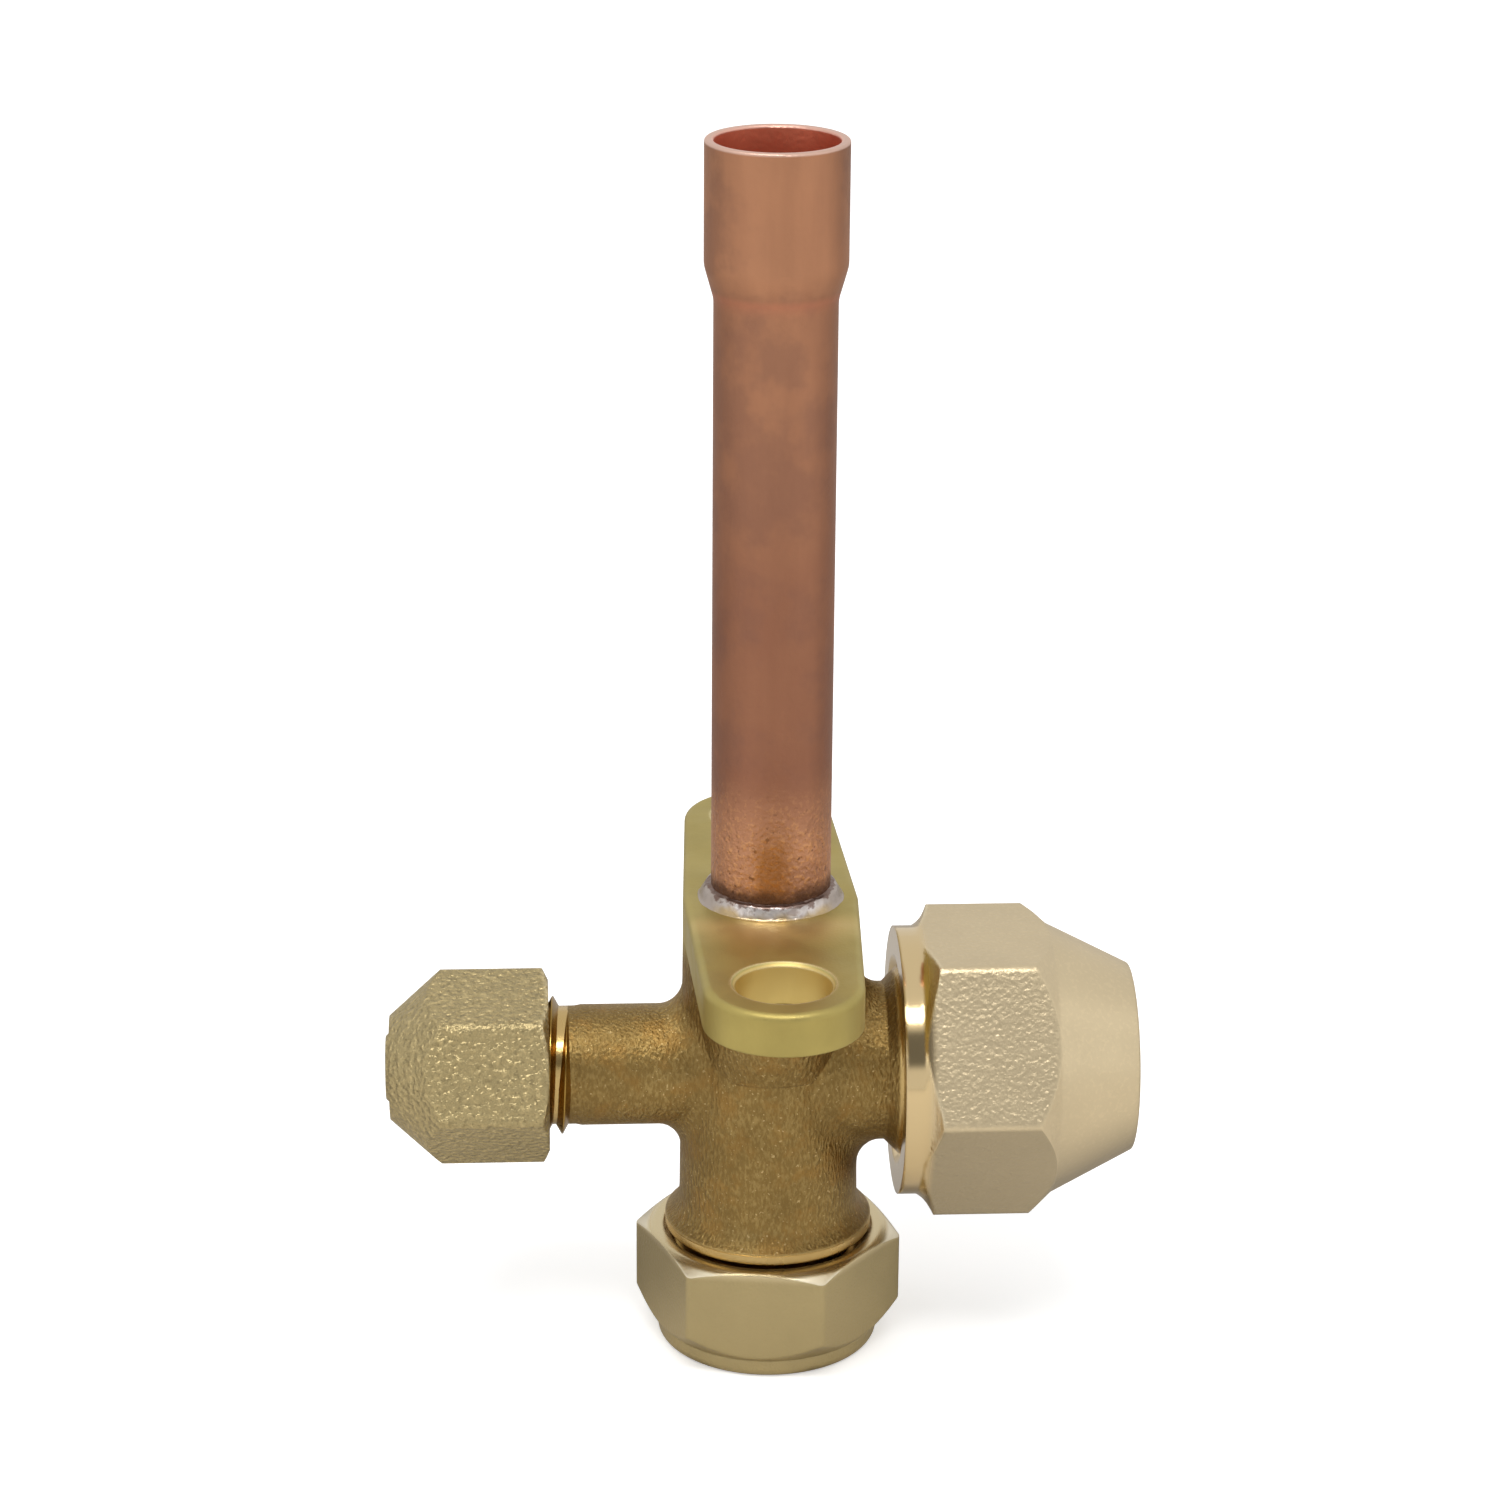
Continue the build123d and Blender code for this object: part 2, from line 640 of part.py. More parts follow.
with BuildPart() as core_gasket:
    with BuildSketch(Plane.XZ):
        front = gasket_start + seat_gap
        back = gasket_end - seat_gap
        add(core_profile([
            (front, gasket_groove), (front, core_taper(front) - run_gap),
            (back, core_taper(back) - run_gap), (back, gasket_groove),
        ]))
    revolve(axis=PORT_AXIS)
core_gasket.part.label = "core_gasket"
export_step(core_gasket.part, "parts/core_gasket.step")

with BuildPart() as core_pin:
    with BuildSketch(Plane.XZ):
        add(core_profile([
            (pin_start, 0), (pin_start, pin_radius), (pin_collar[0], pin_radius),
            (pin_collar[0], pin_collar_radius), (pin_collar[1], pin_collar_radius),
            (pin_collar[1], pin_radius), (cup_end + seat_gap, pin_radius),
            (cup_end + seat_gap, pin_head_radius), (pin_end, pin_radius), (pin_end, 0),
        ]))
    revolve(axis=PORT_AXIS)
core_pin.part.label = "core_pin"
export_step(core_pin.part, "parts/core_pin.step")

with BuildPart() as core_cup:
    with BuildSketch(Plane.XZ):
        pad_floor = barrel_end + 2 * seat_gap + pad_thickness
        add(core_profile([
            (cup_start, pad_radius + run_gap), (cup_start, cup_radius), (cup_end, cup_radius),
            (cup_end, pin_hole), (pad_floor, pin_hole), (pad_floor, pad_radius + run_gap),
        ]))
    revolve(axis=PORT_AXIS)
core_cup.part.label = "core_cup"
export_step(core_cup.part, "parts/core_cup.step")

with BuildPart() as core_pad:
    with BuildSketch(Plane.YZ.offset(barrel_end + seat_gap - service_tip)):
        with Locations((0, -port_drop)):
            Circle(pad_radius)
            Circle(pin_hole, mode=Mode.SUBTRACT)
    extrude(amount=pad_thickness)
core_pad.part.label = "core_pad"
export_step(core_pad.part, "parts/core_pad.step")

with BuildPart() as core_spring:
    with BuildLine():
        coil = Helix(
            pitch=spring_length / spring_turns, height=spring_length, radius=spring_radius,
            center=(spring_front - service_tip, 0, -port_drop), direction=(1, 0, 0),
        )
    with BuildSketch(Plane(origin=coil @ 0, z_dir=coil % 0)):
        Circle(spring_wire / 2)
    sweep()
core_spring.part.label = "core_spring"
export_step(core_spring.part, "parts/core_spring.step")
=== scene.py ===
"""Finishes, screw threads and studio of a refrigerant service valve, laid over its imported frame."""

import math

import bmesh
import bpy
from bpy.props import FloatProperty, FloatVectorProperty, IntProperty, PointerProperty
from mathutils import Matrix, Vector, noise


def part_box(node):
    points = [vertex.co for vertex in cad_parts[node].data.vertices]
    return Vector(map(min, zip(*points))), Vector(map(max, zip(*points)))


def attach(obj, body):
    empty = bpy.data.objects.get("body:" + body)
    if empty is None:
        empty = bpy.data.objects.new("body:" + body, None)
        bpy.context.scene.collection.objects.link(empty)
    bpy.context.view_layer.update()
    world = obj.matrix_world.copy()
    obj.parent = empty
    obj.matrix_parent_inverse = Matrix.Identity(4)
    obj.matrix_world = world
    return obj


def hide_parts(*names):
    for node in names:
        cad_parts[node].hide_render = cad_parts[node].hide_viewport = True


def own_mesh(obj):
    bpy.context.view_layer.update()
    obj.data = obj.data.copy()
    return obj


bl_info = {
    "name": "Refrigerant service valve",
    "version": (1, 0, 0),
    "blender": (4, 5, 0),
    "location": "3D view > Sidebar > Service valve",
    "description": "Forged, turned and brazed finishes of a service valve, with its screw threads",
    "category": "Object",
}

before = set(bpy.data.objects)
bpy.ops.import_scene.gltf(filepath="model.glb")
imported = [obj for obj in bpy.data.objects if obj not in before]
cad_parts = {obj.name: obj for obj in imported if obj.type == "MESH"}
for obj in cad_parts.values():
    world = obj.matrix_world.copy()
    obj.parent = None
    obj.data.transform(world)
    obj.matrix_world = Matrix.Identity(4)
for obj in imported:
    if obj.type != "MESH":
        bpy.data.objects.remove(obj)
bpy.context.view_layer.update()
MM = 0.001


def low(node):
    """The lowest corner of a node's box."""
    return Vector(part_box(node)[0])


def high(node):
    """The highest corner of a node's box."""
    return Vector(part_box(node)[1])


def middle(node):
    """The centre of a node's box."""
    return (low(node) + high(node)) / 2


# ---------------------------------------------------------------- places, read from the frame
PORT_Z = middle("service_cap_seal").z      # the axis of both ports
CAP_MOUTH_Z = high("stem_cap").z
BODY_END_Z = low("valve_body").z
SERVICE_MOUTH_X = high("service_cap").x
SERVICE_TIP_X = low("valve_body").x
NUT_MOUTH_X = low("flare_nut").x
NUT_RADIUS = high("flare_nut").z - PORT_Z
FLARE_TIP_X = high("valve_body").x
RIM_Z = high("copper_stub").z
FLOOR_Z = low("stem_cap").z
LUG_RADIUS = 6.2 * MM
LUG_Y = high("valve_body").y - LUG_RADIUS


# ---------------------------------------------------------------- settings
def fraction(name, description, value):
    return FloatProperty(name=name, description=description, default=value, min=0.0, max=1.0)


def metres(name, description, value):
    return FloatProperty(name=name, description=description, default=value, unit="LENGTH")


def degrees(name, description, value):
    return FloatProperty(name=name, description=description, default=math.radians(value), subtype="ANGLE")


def watts(name, description, value):
    return FloatProperty(name=name, description=description, default=value, unit="POWER")


def tint(name, description, value):
    """A colour property, in linear red, green and blue."""
    return FloatVectorProperty(
        name=name, description=description, default=value, subtype="COLOR", size=3, min=0.0, max=1.0
    )


class ThreadSizes(bpy.types.PropertyGroup):
    depth_share: fraction("Depth share", "Height of a ridge over its pitch", 0.6134)
    crest_share: fraction("Crest share", "Flat crest of a ridge over its pitch", 0.08)
    points: IntProperty(
        name="Points", description="Points in one turn of a ridge", default=72, min=16, max=256
    )
    flank_room: metres("Flank room", "Room between the flanks of a thread and its nut", 0.04 * MM)
    cap_diameter: metres("Stem cap diameter", "Major diameter under the stem cap", 16.0 * MM)
    cap_pitch: metres("Stem cap pitch", "Pitch under the stem cap", 1.5 * MM)
    service_diameter: metres("Charging port diameter", "Major diameter of the charging port", 11.11 * MM)
    service_pitch: metres("Charging port pitch", "Pitch of the charging port", 1.27 * MM)
    flare_diameter: metres("Flare port diameter", "Major diameter of the flare port", 15.875 * MM)
    flare_pitch: metres("Flare port pitch", "Pitch of the flare port", 1.411 * MM)


class FinishColours(bpy.types.PropertyGroup):
    forged_light: tint("Forged, light", "Lighter flecks of the forged skin", (0.395, 0.272, 0.100))
    forged_dark: tint("Forged, dark", "Darker ground of the forged skin", (0.275, 0.178, 0.058))
    forged_warm: tint("Forged, warm", "Reddish patches of the forged skin", (0.36, 0.195, 0.05))
    # painted glints: bright specks that stand in for sparkle of light on the forged grains
    forged_glint: tint("Forged, glint", "Bright grains of the forged skin", (0.80, 0.60, 0.29))
    milled: tint("Milled", "Milled plate and its trimmed edge", (0.50, 0.40, 0.132))
    milled_heated: tint("Milled, heated", "Heat tint on the plate, in front of the stub", (0.92, 0.68, 0.30))
    # painted highlight along the up-facing bevels of the plate and its holes
    milled_edge: tint("Milled, edge", "Bevels of the plate and its holes", (0.90, 0.79, 0.46))
    drilled: tint("Drilled", "Walls of the two lug holes", (0.66, 0.49, 0.17))
    turned: tint("Turned", "Freshly turned brass", (0.60, 0.42, 0.17))
    nut: tint("Nut", "Blasted skin of the flare nut", (0.70, 0.575, 0.370))
    # painted highlight along the up-facing edges of the flare nut
    nut_edge: tint("Nut, edge", "Worn edges of the flare nut", (0.95, 0.84, 0.60))
    nut_polished: tint("Nut, polished", "Collar and thread bore of the flare nut", (0.72, 0.55, 0.30))
    service_cap: tint("Service cap", "Blasted skin of the service cap", (0.47, 0.375, 0.19))
    # painted highlight along the up-facing edges of the service cap
    service_cap_edge: tint("Service cap, edge", "Worn edges of the service cap", (0.92, 0.78, 0.48))
    stem_cap: tint("Stem cap", "Drawn skin of the stem cap", (0.50, 0.40, 0.205))
    stem_cap_ring: tint("Stem cap, ring", "Turned ring at the mouth of the stem cap", (0.74, 0.61, 0.37))
    # painted highlight on the bevelled corners of the stem cap
    stem_cap_bevel: tint("Stem cap, bevel", "Bevelled corners of the stem cap", (0.95, 0.86, 0.66))
    thread: tint("Thread", "Cut threads", (0.45, 0.28, 0.07))
    copper: tint("Copper", "Drawn copper tube", (0.335, 0.149, 0.090))
    copper_bright: tint("Copper, bright", "Lighter copper near the cup and the joint", (0.60, 0.30, 0.165))
    copper_dull: tint("Copper, dull", "Brown patches of the tube", (0.245, 0.125, 0.092))
    copper_fleck: tint("Copper, fleck", "Bright flecks of the heated end", (0.74, 0.38, 0.17))
    copper_inside: tint("Copper, inside", "Inside of the cup", (0.80, 0.27, 0.16))
    # painted highlight on the cut lip of the cup
    copper_lip: tint("Copper, lip", "Cut lip of the cup", (0.86, 0.62, 0.52))
    oxide: tint("Oxide", "Dark oxide beside the brazed joint", (0.11, 0.055, 0.035))
    stain: tint("Flux stain", "Golden stain above the joint", (0.40, 0.17, 0.055))
    silver: tint("Silver braze", "Brazing alloy", (0.70, 0.645, 0.62))
    silver_flux: tint("Silver braze, flux", "Brown flux left on the alloy", (0.30, 0.20, 0.16))
    silver_dull: tint("Silver braze, dull", "The run's sides and back", (0.47, 0.40, 0.35))
    silver_crack: tint("Silver braze, crack", "Dark line where the run meets the stub", (0.16, 0.085, 0.06))
    silver_film: tint("Silver braze, film", "Brassy film at the run's outer edge", (0.48, 0.34, 0.15))
    steel: tint("Spring steel", "Clip and spring", (0.50, 0.50, 0.50))
    rubber: tint("Rubber", "Seals", (0.018, 0.018, 0.019))
    nylon: tint("Nylon", "Cap washer and core gasket", (0.78, 0.76, 0.70))


class StudioSettings(bpy.types.PropertyGroup):
    distance: metres("Distance", "Camera to its target", 0.3275)
    azimuth: degrees("Azimuth", "Camera's turn about Z", -3.2)
    elevation: degrees("Elevation", "Camera's height over the horizon", 20.443)
    roll: degrees("Roll", "Camera's roll", 0.42)
    lens: FloatProperty(name="Lens", description="Focal length in millimetres", default=99.9)
    target_x: metres("Target X", "What the camera looks at", -1.73 * MM)
    target_z: metres("Target Z", "What the camera looks at", 12.32 * MM)
    floor: tint("Floor", "Floor and backdrop", (0.88, 0.88, 0.88))
    floor_before: tint("Floor before", "Floor as the metal mirrors it, before the valve", (0.80, 0.78, 0.75))
    # painted shadow behind the valve, seen only in reflections
    floor_behind: tint("Floor behind", "Floor as the metal mirrors it, behind the valve", (0.50, 0.48, 0.46))
    floor_glow: fraction("Floor glow", "Light the floor gives the camera", 0.45)
    floor_size: metres("Floor size", "Across the floor", 3.0)
    card: tint("Card", "White card all round", (0.95, 0.95, 0.95))
    room: tint("Room", "Dark stretch in front of the valve", (0.22, 0.22, 0.22))
    key: watts("Key light", "Power of the key light", 3.0)
    fill_right: watts("Fill, right", "Power of the right fill", 0.56)
    fill_left: watts("Fill, left", "Power of the left fill", 0.4)


class ServiceValveSettings(bpy.types.PropertyGroup):
    threads: PointerProperty(type=ThreadSizes)
    colours: PointerProperty(type=FinishColours)
    studio: PointerProperty(type=StudioSettings)


def settings():
    return bpy.context.scene.service_valve


def linked(name, data):
    """A new object in the scene."""
    made = bpy.data.objects.new(name, data)
    bpy.context.scene.collection.objects.link(made)
    return made


# ---------------------------------------------------------------- node helpers
def toned(colour, share):
    """A colour made darker or lighter, in linear light."""
    return tuple(min(1.0, share * part) for part in colour)


def grey(level):
    return (level,) * 3


class Net:
    """Adds and links the nodes of one tree."""

    def __init__(self, tree):
        self.tree = tree

    def add(self, kind, sockets=None, **options):
        made = self.tree.nodes.new(kind)
        for name, value in options.items():
            setattr(made, name, value)
        for key, value in (sockets or {}).items():
            self.feed(made.inputs[key], value)
        return made

    def feed(self, socket, value):
        if isinstance(value, bpy.types.NodeSocket):
            self.tree.links.new(value, socket)
        elif socket.type == "RGBA" and len(value) == 3:
            socket.default_value = (*value, 1.0)
        else:
            socket.default_value = value

    def maths(self, operation, a, b=0.0, c=0.0):
        return self.add("ShaderNodeMath", {0: a, 1: b, 2: c}, operation=operation).outputs[0]

    def times(self, a, b):
        return self.maths("MULTIPLY", a, b)

    def scale_add(self, a, b, c):
        """a times b, plus c."""
        return self.maths("MULTIPLY_ADD", a, b, c)

    def larger(self, a, b):
        return self.maths("MAXIMUM", a, b)

    def remainder(self, share):
        """What a share leaves of 1."""
        return self.maths("SUBTRACT", 1.0, share)

    def step(self, value, start, end):
        """0 at start and 1 at end, with a soft change between them; start may lie above end."""
        sockets = {"Value": value, "From Min": start, "From Max": end}
        return self.add("ShaderNodeMapRange", sockets, interpolation_type="SMOOTHSTEP").outputs["Result"]

    def scaled(self, value, start, end):
        """A 0 to 1 value stretched from start to end."""
        sockets = {"Value": value, "To Min": start, "To Max": end}
        return self.add("ShaderNodeMapRange", sockets).outputs["Result"]

    def mix(self, share, a, b):
        made = self.add("ShaderNodeMix", data_type="RGBA")
        self.feed(made.inputs[0], share)
        self.feed(made.inputs[6], a)
        self.feed(made.inputs[7], b)
        return made.outputs[2]

    def blend(self, colour, towards, where, most):
        """A colour changed towards another where a mask is 1, by at most the given share."""
        return self.mix(self.times(where, most), colour, towards)

    def noise(self, vector, size, detail=2.0, roughness=0.5, distortion=0.0):
        """Noise whose features are about size metres across."""
        sockets = {"Vector": vector, "Scale": 1.0 / size, "Detail": detail}
        sockets.update({"Roughness": roughness, "Distortion": distortion})
        return self.add("ShaderNodeTexNoise", sockets).outputs["Fac"]

    def vector(self, operation, a, b=(0.0, 0.0, 0.0)):
        return self.add("ShaderNodeVectorMath", {0: a, 1: b}, operation=operation).outputs

    def split(self, vector):
        return self.add("ShaderNodeSeparateXYZ", {"Vector": vector}).outputs

    def joined(self, **parts):
        return self.add("ShaderNodeCombineXYZ", parts).outputs[0]

    def length(self, x, y):
        """How far a point of a plane lies from its origin."""
        return self.vector("LENGTH", self.joined(X=x, Y=y))["Value"]


# ---------------------------------------------------------------- shared shader groups
def give_inputs(tree, **inputs):
    """Adds a tree's inputs, each from its default number or from the name of its kind."""
    for key, value in inputs.items():
        kind = value if isinstance(value, str) else type(value).__name__.capitalize()
        label = key.replace("_", " ").capitalize()
        made = tree.interface.new_socket(label, in_out="INPUT", socket_type="NodeSocket" + kind)
        if kind != value:
            made.default_value = value


def shader_group(name, outputs, **inputs):
    """An empty shader group; returns its tree and net, the sockets given to it and those it puts out."""
    tree = bpy.data.node_groups.new(name, "ShaderNodeTree")
    give_inputs(tree, **inputs)
    for label in outputs:
        tree.interface.new_socket(label, in_out="OUTPUT", socket_type="NodeSocketFloat")
    net = Net(tree)
    return tree, net, net.add("NodeGroupInput").outputs, net.add("NodeGroupOutput").inputs


def forged_group(name):
    """Shot-blasted forging skin: short slanting flecks over soft clouds."""
    outputs = ("Fleck", "Cloud", "Height")
    tree, net, given, out = shader_group(name, outputs, vector="Vector", fleck_size=0.3 * MM)
    turned = {"Vector": given["Vector"], "Rotation": (0.3, 0.55, 0.2), "Scale": (1.0, 1.0, 0.45)}
    slanted = net.add("ShaderNodeMapping", turned).outputs[0]
    scale = net.maths("DIVIDE", 1.0, given["Fleck size"])
    fine = net.add("ShaderNodeTexNoise", {"Vector": slanted, "Scale": scale, "Detail": 3.0, "Roughness": 0.6})
    hollows = {"Vector": slanted, "Scale": scale, "Smoothness": 0.6}
    pits = net.add("ShaderNodeTexVoronoi", hollows, feature="SMOOTH_F1")
    cloud = net.noise(given["Vector"], size=4.0 * MM, detail=3.0)
    net.feed(out["Fleck"], net.step(fine.outputs["Fac"], start=0.42, end=0.66))
    net.feed(out["Cloud"], net.step(cloud, start=0.35, end=0.65))
    net.feed(out["Height"], net.scale_add(pits.outputs["Distance"], 0.5, fine.outputs["Fac"]))
    return tree


def blasted_group(name):
    """Fine bead-blasted skin: small round hollows with bright rims."""
    tree, net, given, out = shader_group(name, ("Rim", "Height"), vector="Vector", hollow_size=0.4 * MM)
    scale = net.maths("DIVIDE", 1.0, given["Hollow size"])
    sockets = {"Vector": given["Vector"], "Scale": scale}
    coarse = net.add("ShaderNodeTexNoise", {**sockets, "Detail": 2.0, "Roughness": 0.55})
    hollow = net.add("ShaderNodeTexVoronoi", {**sockets, "Smoothness": 0.8}, feature="SMOOTH_F1")
    net.feed(out["Rim"], net.step(coarse.outputs["Fac"], start=0.5, end=0.68))
    net.feed(out["Height"], net.scale_add(hollow.outputs["Distance"], 0.7, coarse.outputs["Fac"]))
    return tree


def tarnish_group(name):
    """Broad, faint tarnished patches, and long streaks along Z that paint the sheen of reflected
    surroundings.
    """
    tree, net, given, out = shader_group(name, ("Patch", "Smear"), vector="Vector", patch_size=6.0 * MM)
    scale = net.maths("DIVIDE", 1.0, given["Patch size"])
    patch = {"Vector": given["Vector"], "Scale": scale, "Detail": 3.0, "Roughness": 0.55}
    patch = net.add("ShaderNodeTexNoise", patch).outputs["Fac"]
    net.feed(out["Patch"], net.step(patch, start=0.3, end=0.7))
    long = net.add("ShaderNodeMapping", {"Vector": given["Vector"], "Scale": (1.0, 1.0, 0.12)}).outputs[0]
    sheen_streak = {"Vector": long, "Scale": net.times(scale, 4.0), "Detail": 3.0}
    sheen_streak = net.add("ShaderNodeTexNoise", sheen_streak).outputs["Fac"]
    net.feed(out["Smear"], net.step(sheen_streak, start=0.35, end=0.65))
    return tree


def turning_group(name):
    """Fine lathe marks: noise that changes along one measure, such as a radius."""
    tree, net, given, out = shader_group(name, ("Mark",), along=0.0, mark_size=0.12 * MM)
    along = net.maths("DIVIDE", given["Along"], given["Mark size"])
    marks = {"Vector": net.joined(X=along), "Scale": 1.0, "Detail": 3.0, "Roughness": 0.7}
    net.feed(out["Mark"], net.add("ShaderNodeTexNoise", marks).outputs["Fac"])
    return tree


SKINS = {
    "Forged skin": forged_group,
    "Blasted skin": blasted_group,
    "Tarnish": tarnish_group,
    "Lathe marks": turning_group,
}


class Finish:
    """One metal, rubber or plastic finish under way: its net, coordinates and shader."""

    def __init__(self, name):
        self.material = bpy.data.materials.new(name)
        self.material.use_nodes = True
        self.net = Net(self.material.node_tree)
        self.shader = self.material.node_tree.nodes["Principled BSDF"]
        self.place = self.net.add("ShaderNodeTexCoord").outputs["Object"]
        self.x, self.y, self.z = self.net.split(self.place)

    def skin(self, name, **sizes):
        """What one of the shared groups puts out here; the group is made on its first use."""
        group = bpy.data.node_groups.get(name) or SKINS[name](name)
        made = self.net.add("ShaderNodeGroup", node_tree=group)
        if "Vector" in made.inputs:
            self.net.feed(made.inputs["Vector"], self.place)
        for key, value in sizes.items():
            self.net.feed(made.inputs[key.replace("_", " ").capitalize()], value)
        return made.outputs

    def set(self, **values):
        for key, value in values.items():
            self.net.feed(self.shader.inputs[key.replace("_", " ").title()], value)

    def metal(self, colour, roughness):
        self.set(Base_Color=colour, Metallic=1.0, Roughness=roughness)

    def dress(self, *nodes):
        """Gives CAD nodes this finish alone."""
        for name in nodes:
            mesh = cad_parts[name].data
            mesh.materials.clear()
            mesh.materials.append(self.material)

    def relief(self, height, depth, edge=0.0):
        """Bump of a 0 to 1 height, depth metres deep, over edges rounded by edge metres."""
        sockets = {"Height": height, "Distance": depth}
        if edge:
            sockets["Normal"] = self.rounded(edge)
        self.set(Normal=self.net.add("ShaderNodeBump", sockets).outputs[0])

    def rounded(self, radius):
        """The normal of a surface whose edges are rounded."""
        return self.net.add("ShaderNodeBevel", {"Radius": radius}, samples=6).outputs[0]

    def worn_edge(self, radius):
        """1 along the convex edges that face up, where a highlight is painted into the colour."""
        net = self.net
        bent = self.rounded(radius)
        flat = net.add("ShaderNodeNewGeometry").outputs["Normal"]
        match = net.vector("DOT_PRODUCT", bent, flat)["Value"]
        up = net.step(net.split(bent)["Z"], start=0.15, end=0.5)
        return net.times(net.step(match, start=0.995, end=0.93), up)

    def facing_up(self):
        """The Z part of the surface normal: 1 on a level top, -1 underneath."""
        normal = self.net.add("ShaderNodeNewGeometry").outputs["Normal"]
        return self.net.split(normal)["Z"]

    def noise(self, **sizes):
        return self.net.noise(self.place, **sizes)

    def wobble(self, size, detail, reach):
        """Noise that runs from -reach to reach."""
        return self.net.scale_add(self.noise(size=size, detail=detail), 2 * reach, -reach)

    def radius_about_z(self):
        return self.net.length(self.x, self.y)

    def radius_about_ports(self):
        return self.net.length(self.y, self.net.maths("SUBTRACT", self.z, PORT_Z))


# In each pair below, a change of the finish starts at the first value and is full at the second.
# ---------------------------------------------------------------- copper stub
CUP_BRIGHTENS = (RIM_Z - 13.0 * MM, RIM_Z - 10.0 * MM)
TOP_BRIGHTENS = (22.0 * MM, 44.0 * MM)
FOOT_HEATED = (12.0 * MM, 5.0 * MM)
FOOT_BURNT = (2.7 * MM, 1.3 * MM)
STAIN_X = -0.2 * MM
STAIN_WIDTH = (2.0 * MM, 0.5 * MM)
STAIN_HEIGHT = (8.0 * MM, 4.5 * MM)
STAIN_FRONT = (0.0, -1.0 * MM)
CUP_WALL = (5.05 * MM, 4.85 * MM)
CUP_DEPTH = (RIM_Z - 13.0 * MM, RIM_Z - 9.0 * MM)
CUP_LIP_HIGHLIGHT = (RIM_Z - 0.3 * MM, RIM_Z - 0.12 * MM)


class VALVE_OT_copper_finish(bpy.types.Operator):
    """Drawn copper with a scaled band and a golden stain at its brazed end"""

    bl_idname = "valve.copper_finish"
    bl_label = "Copper stub"

    def execute(self, context):
        tints = settings().colours
        made = Finish("Drawn copper")
        net = made.net
        tarnish_and_sheen = made.skin("Tarnish", patch_size=9.0 * MM)
        scale = made.skin("Blasted skin", hollow_size=0.4 * MM)
        ragged = made.wobble(size=1.6 * MM, detail=3.0, reach=1.2 * MM)
        level = net.maths("ADD", made.z, ragged)
        heated = net.step(level, *FOOT_HEATED)

        bright = net.larger(net.times(net.step(level, *CUP_BRIGHTENS), 0.55), net.times(heated, 0.85))
        bright = net.larger(bright, net.times(net.step(made.z, *TOP_BRIGHTENS), 0.3))
        bright = net.scale_add(tarnish_and_sheen["Patch"], 0.22, bright)
        colour = net.mix(bright, tints.copper, tints.copper_bright)
        # painted reflection: faint darker streaks along the tube stand in for the surroundings it mirrors
        colour = net.blend(colour, toned(tints.copper, 0.72), tarnish_and_sheen["Smear"], most=0.14)
        dull = made.noise(size=7.0 * MM, detail=4.0, roughness=0.6)
        colour = net.blend(colour, tints.copper_dull, net.step(dull, start=0.46, end=0.62), most=0.35)
        colour = net.blend(colour, tints.copper_fleck, net.times(scale["Rim"], heated), most=0.6)
        pit = net.step(made.noise(size=0.42 * MM), start=0.36, end=0.28)
        colour = net.blend(colour, tints.oxide, net.times(pit, heated), most=0.6)
        colour = net.blend(colour, tints.stain, self.stain(made, ragged), most=0.75)
        burnt = net.step(net.scale_add(ragged, 0.7, made.z), *FOOT_BURNT)
        colour = net.blend(colour, tints.oxide, burnt, most=0.85)
        inside = net.times(net.step(made.radius_about_z(), *CUP_WALL), net.step(made.z, *CUP_DEPTH))
        colour = net.mix(inside, colour, tints.copper_inside)
        # painted highlight: a pale ring along the cut lip of the cup
        colour = net.blend(colour, tints.copper_lip, net.step(made.z, *CUP_LIP_HIGHLIGHT), most=0.7)

        rough = net.scale_add(burnt, 0.2, net.scaled(tarnish_and_sheen["Patch"], 0.42, 0.54))
        made.metal(colour, rough)
        made.relief(net.times(scale["Height"], net.scale_add(heated, 0.85, 0.15)), depth=0.11 * MM)
        made.dress("copper_stub")
        return {"FINISHED"}

    def stain(self, made, ragged):
        """A soft upright patch on the front of the tube."""
        net = made.net
        aside = net.maths("ABSOLUTE", net.maths("SUBTRACT", made.x, STAIN_X))
        patch = net.step(net.scale_add(ragged, 0.5, aside), *STAIN_WIDTH)
        patch = net.times(patch, net.step(made.z, *STAIN_HEIGHT))
        return net.times(patch, net.step(made.y, *STAIN_FRONT))


# ---------------------------------------------------------------- forged body
PLATE_HEIGHT = (-5.6 * MM, -3.0 * MM)
HEAT_REACH = (12.0 * MM, 6.5 * MM)
HEAT_FACE = (-0.3 * MM, -0.1 * MM)
HEAT_FRONT = (-3.5 * MM, -7.0 * MM)
LUG_HOLE_WALL = (3.95 * MM, 3.85 * MM)
COLUMN_END = (CAP_MOUTH_Z + 1.25 * MM, CAP_MOUTH_Z + 0.95 * MM)
CHARGING_END = (SERVICE_MOUTH_X + 1.65 * MM, SERVICE_MOUTH_X + 1.5 * MM)
FLARE_END = (NUT_MOUTH_X - 0.3 * MM, NUT_MOUTH_X)
SKIN_ROUGHNESS = 0.48
TURNED_ROUGHNESS = 0.26


